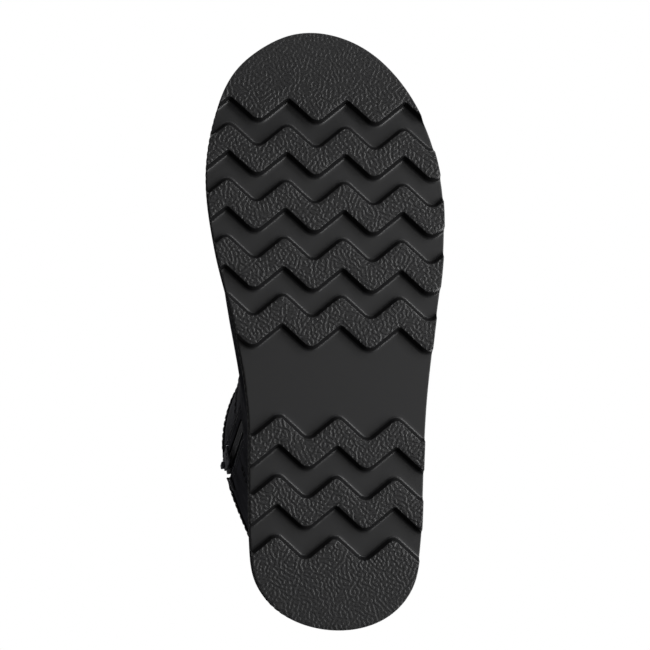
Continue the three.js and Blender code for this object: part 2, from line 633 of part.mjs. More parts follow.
function collarBinding() {
  const columns = 40;
  const rows = 5;
  const from = slotRear(TOP);
  const to = slotFront(TOP) + FULL;
  const middle = (collarOut + collarIn) / 2;
  const half = (collarOut - collarIn) / 2;
  const at = (i, j, top) => {
    const turn = Math.PI * (j / rows);
    const rise = top ? GAP + 0.8 + COLLAR_RISE * Math.sin(turn) : GAP;
    return atTopEdge(lerp(from, to, i / columns), rise, middle + half * Math.cos(turn)).toArray();
  };
  return between(columns, rows, (i, j) => at(i, j, true), (i, j) => at(i, j, false));
}

// The pull tab goes up the back stay, over the collar and down inside the lining.
function pullTab() {
  const outerLeaf = GAP + STAY_THICKNESS + GAP + TAB_THICKNESS / 2;
  const innerLeaf = collarIn - GAP - TAB_THICKNESS / 2;
  const middle = (outerLeaf + innerLeaf) / 2;
  const radius = (outerLeaf - innerLeaf) / 2;
  const path = [
    ...spread(-TAB_LEAF, TAB_RISE, 5).map((rise) => [rise, outerLeaf, 1, 0]),
    ...spread(0, Math.PI, 8).slice(1).map((turn) =>
      [TAB_RISE + radius * Math.sin(turn), middle + radius * Math.cos(turn), Math.cos(turn), Math.sin(turn)]),
    ...spread(TAB_RISE, -TAB_LEAF * 0.7, 5).slice(1).map((rise) => [rise, innerLeaf, -1, 0]),
  ];
  const at = (i, j, side) => {
    const [rise, height, outPart, upPart] = path[i];
    const angle = lerp(beside(TOP, Math.PI, TAB_HALF_WIDTH), beside(TOP, Math.PI, -TAB_HALF_WIDTH), j / 4);
    const half = (side * TAB_THICKNESS) / 2;
    return atTopEdge(angle, rise + upPart * half, height + outPart * half).toArray();
  };
  return between(path.length - 1, 4, (i, j) => at(i, j, 1), (i, j) => at(i, j, -1));
}

function collarSnap() {
  const { radius, hole, thickness, behindZip, belowTop } = SNAP;
  const ring = new THREE.LatheGeometry(
    [[hole, 0], [radius, 0], [radius - 0.5, thickness], [hole + 0.4, thickness], [hole, 0]]
      .map(([r, h]) => new THREE.Vector2(r, h)), 18);
  const t = stationAtHeight(BOOT_HEIGHT - belowTop);
  const angle = beside(t, zipAngle(t), -behindZip);
  const turn = new THREE.Quaternion().setFromUnitVectors(new THREE.Vector3(0, 1, 0), outwards(t, angle));
  const place = offUpper(t, angle, GAP);
  return ring.applyMatrix4(new THREE.Matrix4().compose(place, turn, new THREE.Vector3(1, 1, 1)));
}

// ---- Assembly ----------------------------------------------------------------------------------

const finish = (color, roughness, metalness = 0) => new THREE.MeshStandardMaterial({ color, roughness, metalness });
const rubber = finish(0x2b2c2d, 0.55);
const foam = finish(0x313233, 0.8);
const suede = finish(0x17171a, 0.95);
const leather = finish(0x1b1b1d, 0.6);
const fleece = finish(0x2c2c30, 1);
const cloth = finish(0x151516, 0.9);
const board = finish(0x8a7358, 0.9);
const fibre = finish(0x9c9a90, 0.9);
const moulded = finish(0x0e0e0f, 0.4);
const steel = finish(0x8d8f92, 0.35, 1);

const boot = new THREE.Group();
const parts = new THREE.Group();

function add(name, geometry, material) {
  const mesh = new THREE.Mesh(geometry, material);
  mesh.name = name;
  parts.add(mesh);
}

const stopHeights = [CHAIN_BOTTOM, CHAIN_TOP];
const topStop = [chainLength + GAP, chainLength + GAP + STOP_LENGTH];
const bottomStop = [-GAP - STOP_LENGTH, -GAP];

add("outsole", outsole(), rubber);
add("midsole", midsole(), foam);
add("shank", shank(), steel);
add("heel_cushion", heelCushion(0, HEEL_THICKNESS - GAP), foam);
add("insole_board", insoleBoard(), board);
add("footbed", footbed(), fleece);
add("foxing_band", foxingBand(), rubber);
add("toe_puff", toePuff(), fibre);
add("heel_stiffener", heelStiffener(), fibre);
add("lining", lining(), fleece);
add("vamp", vamp(), suede);
add("quarter_medial", quarterMedial(), suede);
add("quarter_lateral", quarterLateral(), suede);
add("heel_counter", heelCounter(), suede);
add("shaft_front", shaftFront(), suede);
add("shaft_back", shaftBack(), suede);
add("back_stay", backStay(), suede);
add("collar_binding", collarBinding(), leather);
add("pull_tab", pullTab(), cloth);
add("zip_guard", zipGuard(), cloth);
add("zip_tape_front", zipTape(1), cloth);
add("zip_tape_rear", zipTape(-1), cloth);
add("zip_teeth_front", zipTeeth(1), moulded);
add("zip_teeth_rear", zipTeeth(-1), moulded);
add("zip_top_stop_front", zipBlock([GAP, CHAIN_HALF], topStop, stopHeights), moulded);
add("zip_top_stop_rear", zipBlock([-CHAIN_HALF, -GAP], topStop, stopHeights), moulded);
add("zip_bottom_stop", zipBlock([-CHAIN_HALF, CHAIN_HALF], bottomStop, stopHeights), moulded);
add("zip_slider", zipSlider(), steel);
add("zip_puller", zipPuller(), steel);
add("collar_snap", collarSnap(), steel);

// The origin is the middle of the boot's box, on the ground.
const box = new THREE.Box3().setFromObject(parts);
const middle = box.getCenter(new THREE.Vector3());
parts.position.set(-middle.x, -middle.y, -box.min.z);
boot.add(parts);

export default boot;
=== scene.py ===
import math

import bmesh
import bpy
import numpy as np
from mathutils import Matrix, Vector, noise
from mathutils.kdtree import KDTree


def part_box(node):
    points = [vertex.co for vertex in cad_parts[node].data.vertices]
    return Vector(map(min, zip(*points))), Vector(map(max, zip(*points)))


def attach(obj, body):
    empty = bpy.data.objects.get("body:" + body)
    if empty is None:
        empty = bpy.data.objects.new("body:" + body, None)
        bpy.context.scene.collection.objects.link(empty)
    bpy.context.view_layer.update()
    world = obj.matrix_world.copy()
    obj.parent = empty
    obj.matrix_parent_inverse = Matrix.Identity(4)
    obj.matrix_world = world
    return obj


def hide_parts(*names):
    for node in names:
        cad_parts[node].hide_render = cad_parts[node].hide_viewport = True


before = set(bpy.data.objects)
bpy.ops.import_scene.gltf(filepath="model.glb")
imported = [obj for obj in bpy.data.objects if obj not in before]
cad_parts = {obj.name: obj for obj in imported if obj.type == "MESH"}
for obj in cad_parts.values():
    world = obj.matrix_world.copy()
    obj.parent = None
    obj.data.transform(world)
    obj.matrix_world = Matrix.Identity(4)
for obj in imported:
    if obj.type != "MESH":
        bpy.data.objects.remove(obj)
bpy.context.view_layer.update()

# ---- Sole line -------------------------------------------------------------------------------
# The edge of the sole as the pattern cutter draws it: a left sole, +Y to the toe, +X to the inner
# side, lengths from the back of the heel and heights from the ground, in millimetres.

MM = 0.001
FULL = 2 * math.pi
SOLE_LENGTH = 269.7
# Fullness every 15 degrees, from the toe round to the heel
INNER_FULLNESS = [70, 68.5, 70.2, 65, 59, 49.9, 40.6, 37.1, 41.8, 52, 67.5, 78.5, 82]
OUTER_FULLNESS = [72, 73.4, 71, 68, 63.5, 56.7, 49.5, 46.1, 48.4, 56.1, 68.3, 77, 81]
FULLNESS_STEP = math.radians(15)
TOE_SWING = 8.55


def spline(a, b, c, d, t):
    """A smooth curve from b to c, with a before them and d after."""
    curve = (2 * a - 5 * b + 4 * c - d) * t**2 + (3 * b - a - 3 * c + d) * t**3
    return 0.5 * (2 * b + (c - a) * t + curve)


def lerp(a, b, t):
    return a + (b - a) * t


def smooth(low, high, x):
    t = np.clip((np.asarray(x, float) - low) / (high - low), 0, 1)
    return t * t * (3 - 2 * t)


def unit(vectors):
    return vectors / np.linalg.norm(vectors, axis=-1, keepdims=True)


def fullness(turn):
    """Half width of the sole over the sine of its angle: 0 at the toe, plus inwards."""
    wrapped = np.arccos(np.clip(np.cos(turn), -1, 1))
    step = wrapped / FULLNESS_STEP
    k = np.minimum(step.astype(int), len(INNER_FULLNESS) - 2)
    sides = [
        spline(*(np.array([table[1], *table, table[-2]])[k + i] for i in range(4)), step - k)
        for table in (INNER_FULLNESS, OUTER_FULLNESS)
    ]
    return np.where(np.sin(turn) >= 0, *sides)


def sole_edge(turn):
    lean = 1 + np.cos(turn)
    across = TOE_SWING * lean + np.sin(turn) * fullness(turn)
    return np.stack([across, SOLE_LENGTH / 2 * lean], -1)


def sole_line(turn, inset):
    """The sole's edge moved in by an inset, square to itself."""
    turn = np.asarray(turn, float)
    along = unit(sole_edge(turn + 0.01) - sole_edge(turn - 0.01))
    inwards = np.stack([along[..., 1], -along[..., 0]], -1)
    return sole_edge(turn) + inwards * np.asarray(inset)[..., None]


TOE_SPRING = 12
SPRING_START = 0.73 * SOLE_LENGTH
SPRING_RADIUS = ((SOLE_LENGTH - SPRING_START) ** 2 + TOE_SPRING**2) / (2 * TOE_SPRING)
PLATE = 9.4
HEEL_THICKNESS, FOREFOOT_THICKNESS = 29.5, 21
HEEL_END, BALL = 0.17 * SOLE_LENGTH, 0.7 * SOLE_LENGTH


def spring_at(y):
    past = np.clip(np.asarray(y, float) - SPRING_START, 0, None)
    return SPRING_RADIUS - np.sqrt(SPRING_RADIUS**2 - past**2)


def sole_top_at(y):
    return spring_at(y) + lerp(HEEL_THICKNESS, FOREFOOT_THICKNESS, smooth(HEEL_END, BALL, y))


outsole_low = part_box("outsole")[0]
CAD_EDGE_POINTS = 64
cad_edge = sole_edge(np.arange(CAD_EDGE_POINTS) * FULL / CAD_EDGE_POINTS)
BACK_OF_HEEL = Vector((outsole_low.x - cad_edge[:, 0].min() * MM, outsole_low.y, outsole_low.z))

# ---- Camera ----------------------------------------------------------------------------------
# A long lens under the boot, a little to the inner side and the heel, so that the inner wall of
# the sole and the shaft behind it just show.

EYE = Vector((90, 58, -1400))
AIM = Vector((8.8, 136.3, 0))
ROLL = math.radians(1.6)
SEEN_WIDTH = 291.4
FILM_WIDTH = 36

toward = (AIM - EYE).normalized()
upright = Vector((math.sin(ROLL), math.cos(ROLL), 0))
rightward = toward.cross(upright).normalized()
upright = rightward.cross(toward)
aimed = Matrix((rightward, upright, -toward)).transposed().to_4x4()
lens = bpy.data.cameras.new("sole_camera")
lens.sensor_width = FILM_WIDTH
lens.lens = FILM_WIDTH * (AIM - EYE).length / SEEN_WIDTH
lens.clip_start, lens.clip_end = 0.05, 20
camera = bpy.data.objects.new("sole_camera", lens)
camera.matrix_world = Matrix.Translation(BACK_OF_HEEL + EYE * MM) @ aimed
bpy.context.scene.collection.objects.link(camera)
bpy.context.scene.camera = camera
bpy.context.scene.view_settings.view_transform = "Standard"

# ---- Studio ----------------------------------------------------------------------------------
# A pale floor that the boot stands on, seen only from above and brightened by a painted glow, and a
# white surround.
# Three soft boxes hang low, for the sole: a broad one under it, and strips from the outer side and
# the toe that rake the grain. Three more stand above, for the upper.


def colour(code):
    """sRGB hex to linear RGBA."""
    parts = [int(code[i : i + 2], 16) / 255 for i in (0, 2, 4)]
    return (*(p / 12.92 if p <= 0.04045 else ((p + 0.055) / 1.055) ** 2.4 for p in parts), 1)


def node(tree, kind, links=(), **settings):
    """Adds a node. links are (input, output socket), and settings are its properties, or its
    inputs where it has no property of that name."""
    made = tree.nodes.new(kind)
    for name, value in settings.items():
        if hasattr(made, name):
            setattr(made, name, value)
        else:
            made.inputs[name.replace("_", " ")].default_value = value
    for name, socket in links:
        tree.links.new(made.inputs[name], socket)
    return made


WHITE = colour("ffffff")
world = bpy.data.worlds.new("white_surround")
world.use_nodes = True
bpy.context.scene.world = world
tree = world.node_tree
tree.nodes.clear()
ray = node(tree, "ShaderNodeLightPath")
dim = node(tree, "ShaderNodeBackground", Color=WHITE, Strength=0.05)
bright = node(tree, "ShaderNodeBackground", Color=WHITE, Strength=1)
mixed = node(tree, "ShaderNodeMixShader",
             [(0, ray.outputs["Is Camera Ray"]), (1, dim.outputs[0]), (2, bright.outputs[0])])
node(tree, "ShaderNodeOutputWorld", [(0, mixed.outputs[0])])


def soft_box(name, place, target, width, height, power, gleams=True):
    """A lamp in metres and watts. One that doesn't gleam isn't seen in glossy surfaces."""
    light = bpy.data.lights.new(name, "AREA")
    light.shape, light.size, light.size_y, light.energy = "RECTANGLE", width, height, power
    lamp = bpy.data.objects.new(name, light)
    place, target = Vector(place), Vector(target)
    facing = (target - place).to_track_quat("-Z", "Y").to_matrix().to_4x4()
    lamp.matrix_world = Matrix.Translation(place) @ facing
    bpy.context.scene.collection.objects.link(lamp)
    lamp.visible_camera, lamp.visible_glossy = False, gleams


soft_box("under_sole", (-0.25, 0.1, -1.7), (0, 0, 0), 0.5, 1.0, 1.45)
soft_box("low_outer_strip", (-1.0, 0.15, -0.95), (0, 0, 0), 2.3, 0.3, 27)
soft_box("low_toe_strip", (0.1, 1.3, -0.85), (0, 0, 0), 1.0, 0.25, 1.4)
soft_box("above_outer", (-0.9, -0.7, 1.5), (0, 0, 0.08), 0.9, 0.9, 75)
soft_box("above_inner", (0.9, -0.4, 1.3), (0, 0, 0.08), 0.9, 0.7, 25, gleams=False)
soft_box("above_toe", (0.1, 1.3, 1.2), (0, 0, 0.05), 0.9, 0.6, 45)

floor_mesh = bmesh.new()
bmesh.ops.create_grid(floor_mesh, x_segments=1, y_segments=1, size=3)
floor_data = bpy.data.meshes.new("pale_floor")
floor_mesh.to_mesh(floor_data)
floor_mesh.free()
pale_floor = bpy.data.objects.new("pale_floor", floor_data)
bpy.context.scene.collection.objects.link(pale_floor)
pale_floor.visible_diffuse = pale_floor.visible_glossy = pale_floor.visible_shadow = False
# Matt grey paint with a painted glow added, half strength near the boot and full from 0.5 m
# outwards, so that the floor looks white and evenly lit further out; clear from below.
glowing_floor_paint = bpy.data.materials.new("matt_floor_paint_with_painted_glow")
glowing_floor_paint.use_nodes = True
tree = glowing_floor_paint.node_tree
tree.nodes.clear()
side_seen = node(tree, "ShaderNodeNewGeometry")
matt = node(tree, "ShaderNodeBsdfDiffuse", Color=colour("646464"))
spot = node(tree, "ShaderNodeTexCoord")
reach = node(tree, "ShaderNodeVectorMath", [(0, spot.outputs["Object"])], operation="LENGTH")
# Painted glow: its strength is 0.5 within 0.15 m of the boot, rising to 1 at 0.5 m.
glow_strength = node(tree, "ShaderNodeMapRange", [("Value", reach.outputs["Value"])],
            interpolation_type="SMOOTHSTEP", From_Min=0.15, From_Max=0.5, To_Min=0.5, To_Max=1)
glow = node(tree, "ShaderNodeEmission", [("Strength", glow_strength.outputs[0])], Color=WHITE)
paint_and_glow = node(tree, "ShaderNodeAddShader", [(0, matt.outputs[0]), (1, glow.outputs[0])])
clear = node(tree, "ShaderNodeBsdfTransparent")
one_sided = node(tree, "ShaderNodeMixShader", [
    (0, side_seen.outputs["Backfacing"]), (1, paint_and_glow.outputs[0]), (2, clear.outputs[0])])
node(tree, "ShaderNodeOutputMaterial", [(0, one_sided.outputs[0])])
floor_data.materials.append(glowing_floor_paint)

# ---- Outsole ---------------------------------------------------------------------------------
# A plate of carbon-black rubber, pressed in a steel mould: raised ribs with a leather-like
# grain from the mould, and smooth zigzag grooves with leaning walls and a fillet at their foot.

TREAD_DEPTH = 4.6
ZIG_PERIOD, ZIG_SHARP_HEIGHT, ZIG_PEAK_X = 26.4, 11.5, 1.7
ZIG_LEAN = math.atan(ZIG_SHARP_HEIGHT / (ZIG_PERIOD / 2))
# Radii of a rib's edge where it points out and where it points in: (to the heel, to the toe)
RIB_CORNER_OUT, RIB_CORNER_IN = (4, 2.7), (1.8, 4.6)
SHARPEST_CORNER = 0.35
# (front edge, rear edge) of each groove at its sharp peaks; the fifth is the arch.
GROOVES = [(238.9, 226.1), (214.2, 200.9), (188.8, 175.3), (162.6, 149.6), (136.8, 95.2),
           (82.9, 68.5), (56.1, 41.5)]
# (distance from the rib's edge, depth) down a groove's wall
WALL = [(-0.4, 0), (-0.18, 0.05), (-0.03, 0.2), (0.1, 0.5), (0.45, 1.8), (0.85, 3.2),
        (1.02, 3.7), (1.28, 4.12), (1.62, 4.4), (2, 4.55), (2.4, TREAD_DEPTH)]
COLUMN = ZIG_PERIOD / 48
RIB_ROW, FLOOR_ROW = 3, 2
RIM = [(0.3, 0), (0.1, 0.07), (0, 0.3)]  # (inset, rise) round the lower edge
TOP_RIM = [(0, 0.3), (0.3, 0), (8, 0)]  # (inset, distance under the plate's top) round the upper
MARGIN = 4  # how far the uncut tread reaches past the sole's edge


def zigzag(x, peak, valley):
    """The zigzag's line at x, 0 at a sharp peak, with its corners rounded to these radii."""
    half = ZIG_PERIOD / 2
    fold = np.abs((x - ZIG_PEAK_X + half) % ZIG_PERIOD - half)
    other = half - fold
    sine, cosine = math.sin(ZIG_LEAN), math.cos(ZIG_LEAN)
    line = -math.tan(ZIG_LEAN) * fold
    top = np.sqrt(np.clip(peak**2 - fold**2, 0, None)) - peak / cosine
    foot = valley / cosine - np.sqrt(np.clip(valley**2 - other**2, 0, None)) - ZIG_SHARP_HEIGHT
    return np.where(other < valley * sine, foot, np.where(fold < peak * sine, top, line))


def tread_rows(x):
    """Rows from toe to heel across the tread, as (length at each x, depth)."""
    def wall_line(level, side, distance):
        faces_toe = side > 0
        point_in = max(RIB_CORNER_IN[faces_toe] - distance, SHARPEST_CORNER)
        point_out = RIB_CORNER_OUT[faces_toe] + distance
        radii = (point_in, point_out) if side < 0 else (point_out, point_in)
        return level + side * distance / math.cos(ZIG_LEAN) + zigzag(x, *radii)

    rows = []

    def fill(line, step, depth):
        last = rows[-1][0]
        count = max(1, round(float(np.abs(last - line).mean()) / step))
        rows.extend((lerp(last, line, k / count), depth) for k in range(1, count))

    rows.append((np.full_like(x, SOLE_LENGTH + MARGIN), 0.0))
    for front, rear in GROOVES:
        fill(wall_line(front, -1, WALL[0][0]), RIB_ROW, 0.0)
        rows.extend((wall_line(front, -1, d), depth) for d, depth in WALL)
        fill(wall_line(rear, 1, WALL[-1][0]), FLOOR_ROW, TREAD_DEPTH)
        rows.extend((wall_line(rear, 1, d), depth) for d, depth in reversed(WALL))
    heel_end = np.full_like(x, -MARGIN)
    fill(heel_end, RIB_ROW, 0.0)
    rows.append((heel_end, 0.0))
    return rows


SHARP_EDGE = math.radians(40)


def piece(name, mesh, material, *nodes, body="boot", slot=None):
    """Makes the object from a mesh in millimetres, which rides on a body and stands for nodes."""
    bmesh.ops.scale(mesh, vec=(MM, MM, MM), verts=mesh.verts)
    bmesh.ops.translate(mesh, vec=BACK_OF_HEEL, verts=mesh.verts)
    data = bpy.data.meshes.new(name)
    mesh.to_mesh(data)
    mesh.free()
    data.materials.append(material)
    data.shade_smooth()
    data.set_sharp_from_angle(angle=SHARP_EDGE)
    made = bpy.data.objects.new(name, data)
    bpy.context.scene.collection.objects.link(made)
    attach(made, body)
    if nodes:
        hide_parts(*nodes)
    return made


def put(mesh, points):
    """Moves the vertices, in their order, to points in millimetres."""
    for vert, point in zip(mesh.verts, points):
        vert.co = point


def grid(mesh, columns, rows):
    """Makes a grid, with UVs if the mesh has a map, and gives each vertex's column and row."""
    mapped = bool(mesh.loops.layers.uv)
    bmesh.ops.create_grid(mesh, x_segments=columns, y_segments=rows, size=0.5, calc_uvs=mapped)
    flat = np.array([v.co[:2] for v in mesh.verts]) + 0.5
    return np.rint(flat[:, 0] * columns).astype(int), np.rint(flat[:, 1] * rows).astype(int)


def face_outwards(mesh):
    bmesh.ops.recalc_face_normals(mesh, faces=mesh.faces)


def open_edges(mesh):
    return [e for e in mesh.edges if e.is_boundary]


def verts_in(geometry):
    return [g for g in geometry if isinstance(g, bmesh.types.BMVert)]


# The pattern of the tread, as a solid block that is wider than the sole
x_low, x_high = cad_edge[:, 0].min() - MARGIN, cad_edge[:, 0].max() + MARGIN
first = math.floor((x_low - ZIG_PEAK_X) / COLUMN)
columns = math.ceil((x_high - ZIG_PEAK_X) / COLUMN) - first
column_x = ZIG_PEAK_X + (first + np.arange(columns + 1)) * COLUMN
lines, depths = zip(*tread_rows(column_x))
tread = bmesh.new()
i, j = grid(tread, columns, len(lines) - 1)
levels = np.array(lines)[j, i]
put(tread, np.column_stack([column_x[i], levels, spring_at(levels) + np.array(depths)[j]]))
face_outwards(tread)
if sum(f.normal.z for f in tread.faces) > 0:
    bmesh.ops.reverse_faces(tread, faces=tread.faces)
BLOCK_TOP = 40
for vert in verts_in(bmesh.ops.extrude_edge_only(tread, edges=open_edges(tread))["geom"]):
    vert.co.z = BLOCK_TOP
bmesh.ops.holes_fill(tread, edges=open_edges(tread), sides=0)
face_outwards(tread)

# The block is trimmed to the sole's edge, and its cut sides are then made ring by ring.
EDGE_POINTS = 420
CUTTER_FOOT, CUTTER_HEIGHT = -20, 50
cutter = bmesh.new()
bmesh.ops.create_circle(cutter, segments=EDGE_POINTS, radius=1)
trim_line = sole_line(np.arange(EDGE_POINTS) * FULL / EDGE_POINTS, RIM[0][0])
put(cutter, [(x, y, CUTTER_FOOT) for x, y in trim_line])
cutter_base = bmesh.ops.holes_fill(cutter, edges=cutter.edges[:], sides=0)["faces"]
lifted = bmesh.ops.extrude_face_region(cutter, geom=cutter_base)["geom"]
bmesh.ops.translate(cutter, vec=(0, 0, CUTTER_HEIGHT), verts=verts_in(lifted))
face_outwards(cutter)
for face in cutter.faces:
    face.material_index = 1


def cut(mesh, tool, operation):
    """The mesh intersected with, or less, a closed tool. The faces keep their material numbers."""
    objects = []
    for name, solid in (("cut_from", mesh), ("cut_by", tool)):
        data = bpy.data.meshes.new(name)
        solid.to_mesh(data)
        solid.free()
        for _ in range(2):
            data.materials.append(None)
        objects.append(bpy.data.objects.new(name, data))
        bpy.context.scene.collection.objects.link(objects[-1])
    boolean = objects[0].modifiers.new("cut", "BOOLEAN")
    boolean.operation, boolean.object, boolean.solver = operation, objects[1], "MANIFOLD"
    bpy.context.view_layer.update()
    evaluated = objects[0].evaluated_get(bpy.context.evaluated_depsgraph_get())
    result = bmesh.new()
    result.from_mesh(evaluated.to_mesh())
    evaluated.to_mesh_clear()
    for used in objects:
        data = used.data
        bpy.data.objects.remove(used)
        bpy.data.meshes.remove(data)
    return result


tread = cut(tread, cutter, "INTERSECT")
tread.normal_update()
cut_faces = [f for f in tread.faces if f.material_index]
bmesh.ops.delete(tread, geom=cut_faces, context="FACES")
turn_layer = tread.verts.layers.float.new("turn")
rim_edges = open_edges(tread)
FINE_POINTS = 7200
fine_turns = np.linspace(0, FULL, FINE_POINTS, endpoint=False)
fine_line = sole_line(fine_turns, RIM[0][0])
for vert in {v for e in rim_edges for v in e.verts}:
    nearest = np.argmin(((fine_line - np.array(vert.co[:2])) ** 2).sum(1))
    vert[turn_layer] = fine_turns[nearest]


def next_ring(edges, inset, rise=0, under_top=None):
    """Extrudes the tread's open ring to an inset from the sole's edge, and up by a rise or to a
    distance under the plate's top."""
    made = bmesh.ops.extrude_edge_only(tread, edges=edges)["geom"]
    ring = verts_in(made)
    flat = sole_line(np.array([v[turn_layer] for v in ring]), inset)
    for vert, (x, y) in zip(ring, flat):
        z = vert.co.z + rise if under_top is None else float(spring_at(y) + PLATE - under_top)
        vert.co = (x, y, z)
    return [g for g in made if isinstance(g, bmesh.types.BMEdge) and g.is_boundary]


for (_, before), (inset, rise) in zip(RIM, RIM[1:]):
    rim_edges = next_ring(rim_edges, inset, rise - before)
for inset, under_top in TOP_RIM:
    rim_edges = next_ring(rim_edges, inset, under_top=under_top)
bmesh.ops.triangle_fill(tread, use_beauty=True, edges=rim_edges)
face_outwards(tread)
grain_layer = tread.verts.layers.float.new("grain")
places = np.array([v.co for v in tread.verts])
on_rib = 1 - smooth(0.12, 0.3, places[:, 2] - spring_at(places[:, 1]))
# The grain is shallower on the toe and heel pads, and fades into them over these lengths.
TOE_PAD, HEEL_PAD, PAD_LOSS = (232, 256), (8, 34), 0.45
on_pad = np.maximum(smooth(*TOE_PAD, places[:, 1]), 1 - smooth(*HEEL_PAD, places[:, 1]))
for vert, depth in zip(tread.verts, on_rib * (1 - PAD_LOSS * on_pad)):
    vert[grain_layer] = depth


def new_material(name, **settings):
    """A material, its node tree and its surface shader with these settings."""
    made = bpy.data.materials.new(name)
    made.use_nodes = True
    surface = made.node_tree.nodes["Principled BSDF"]
    for key, value in settings.items():
        surface.inputs[key.replace("_", " ")].default_value = value
    return made, made.node_tree, surface


# Carbon-black rubber: near black, with the broad dull gleam of a pressed surface. The mould's
# grain gives the ribs short winding ridges, about 2 mm apart, that catch a light from the side.
tread_rubber, tree, surface = new_material(
    "pressed_black_rubber", Base_Color=colour("1a1a1b"), IOR=1.52)
place = node(tree, "ShaderNodeTexCoord")
worm = node(tree, "ShaderNodeTexGabor", [("Vector", place.outputs["Object"])],
            gabor_type="2D", Scale=240, Frequency=2.1, Anisotropy=0)
ridge = node(tree, "ShaderNodeMapRange", [("Value", worm.outputs["Value"])],
             interpolation_type="SMOOTHSTEP", From_Min=0.43, From_Max=0.58, To_Min=0, To_Max=1)
where = node(tree, "ShaderNodeAttribute", attribute_name="grain")
masked = node(tree, "ShaderNodeMath",
              [(0, ridge.outputs[0]), (1, where.outputs["Fac"])], operation="MULTIPLY")
pores = node(tree, "ShaderNodeTexNoise", [("Vector", place.outputs["Object"])],
             Scale=2600, Detail=2)
bumps = node(tree, "ShaderNodeBump", [("Height", pores.outputs["Fac"])],
             Strength=0.06, Distance=0.0001)
grain_bump = node(tree, "ShaderNodeBump",
                  [("Height", masked.outputs[0]), ("Normal", bumps.outputs[0])],
                  Strength=0.8, Distance=0.00016)
tree.links.new(surface.inputs["Normal"], grain_bump.outputs[0])
# Its upright sides come duller out of the mould than the faces that lie flat.
facing = node(tree, "ShaderNodeNewGeometry")
downwards = node(tree, "ShaderNodeSeparateXYZ", [("Vector", facing.outputs["Normal"])])
for name, upright, flat in (("Roughness", 0.85, 0.42), ("Specular IOR Level", 0.15, 0.5)):
    dulled = node(tree, "ShaderNodeMapRange", [("Value", downwards.outputs[2])],
                  From_Min=-0.5, From_Max=-0.85, To_Min=upright, To_Max=flat)
    tree.links.new(surface.inputs[name], dulled.outputs[0])

piece("outsole_tread", tread, tread_rubber, "outsole", slot="tread_rubber")

# ---- Midsole ---------------------------------------------------------------------------------
# The wall of the sole, moulded in dense black EVA foam on top of the tread plate. Its skin is
# smooth and dull, with two moulded rows of stitches low on the wall and a fine groove over them.


def rings_to_solid(profile, heights):
    """A solid within the sole's edge. profile is (inset, share of the height, mm above it) up its
    side, and heights the lengthwise curves of its bottom and top. The ends close on its middle."""
    closing = [1, 0.62, 0.3]
    rows = [(*profile[0], f) for f in closing] + [(*row, 0) for row in profile]
    rows += [(*profile[-1], f) for f in closing[::-1]]
    mesh = bmesh.new()
    i, j = grid(mesh, EDGE_POINTS, len(rows) - 1)
    inset, share, rise, toward_middle = np.array(rows, float)[j].T
    turn = i * FULL / EDGE_POINTS
    flat, twin = sole_line(turn, inset), sole_line(-turn, inset)
    low, high = (height(flat[:, 1]) for height in heights)
    flat = lerp(flat, (flat + twin) / 2, toward_middle[:, None])
    put(mesh, np.column_stack([flat, lerp(low, high, share) + rise]))
    bmesh.ops.remove_doubles(mesh, verts=mesh.verts, dist=0.01)
    face_outwards(mesh)
    return mesh


GAP = 0.3
MIDSOLE_SIDE = [(1.2, 0, 0), (0.45, 0, 0.12), (0.12, 0, 0.45), (0, 0, 1), (0, 0, 5.4),
                (0.35, 0, 5.7), (0.35, 0, 6.1), (0, 0, 6.4), (0, 1, -1.8), (0.12, 1, -0.9),
                (0.5, 1, -0.25), (1.4, 1, 0)]


def midsole_bottom(y):
    return spring_at(y) + PLATE + GAP


midsole = rings_to_solid(MIDSOLE_SIDE, (midsole_bottom, sole_top_at))


def plastic_like(name, base, roughness, pore_size, pore_depth, strength=0.25, **more):
    """A smooth moulded or cast surface with fine pores. Sizes in millimetres."""
    made, tree, surface = new_material(name, Base_Color=colour(base), Roughness=roughness, **more)
    coordinates = node(tree, "ShaderNodeTexCoord")
    pore = node(tree, "ShaderNodeTexNoise", [("Vector", coordinates.outputs["Object"])],
                Scale=1 / (pore_size * MM), Detail=2)
    bump = node(tree, "ShaderNodeBump", [("Height", pore.outputs["Fac"])],
                Strength=strength, Distance=pore_depth * MM)
    tree.links.new(surface.inputs["Normal"], bump.outputs[0])
    return made


# Moulded EVA skin: dull black, with pores of about half a millimetre.
moulded_foam = plastic_like("moulded_black_foam", "131314", 0.66, 0.5, 0.06,
                            Specular_IOR_Level=0.2)
piece("midsole_wall", midsole, moulded_foam, "midsole", slot="sole_foam")

one_stitch = bpy.data.meshes.new("one_stitch")
spindle = bmesh.new()
bmesh.ops.create_uvsphere(spindle, u_segments=6, v_segments=4, radius=0.5,
                          matrix=Matrix.Rotation(math.pi / 2, 4, "Y"))
SPINDLE = np.array([v.co[:] for v in spindle.verts])
spindle.to_mesh(one_stitch)
spindle.free()


def stitch_row(mesh, points, normals, pitch, length, thickness):
    """Adds stitches along a line of points: spindles of thread, half sunk, each a little oval."""
    steps = np.linalg.norm(np.diff(points, axis=0), axis=1)
    reached = np.concatenate([[0], np.cumsum(steps)])
    spots = np.arange(pitch / 2, reached[-1], pitch)
    at, ahead, behind, up = (
        np.column_stack([np.interp(spots + past, reached, table[:, k]) for k in range(3)])
        for past, table in ((0, points), (0.5, points), (-0.5, points), (0, normals)))
    run = unit(ahead - behind)
    side = unit(np.cross(up, run))
    axes = np.stack([run * length, side * thickness, np.cross(run, side) * thickness * 0.8], 1)
    before = len(mesh.verts)
    for _ in spots:
        mesh.from_mesh(one_stitch)
    places = (at[:, None] + np.einsum("ka,nab->nkb", SPINDLE, axes)).reshape(-1, 3)
    for vert, place in zip(list(mesh.verts)[before:], places):
        vert.co = place


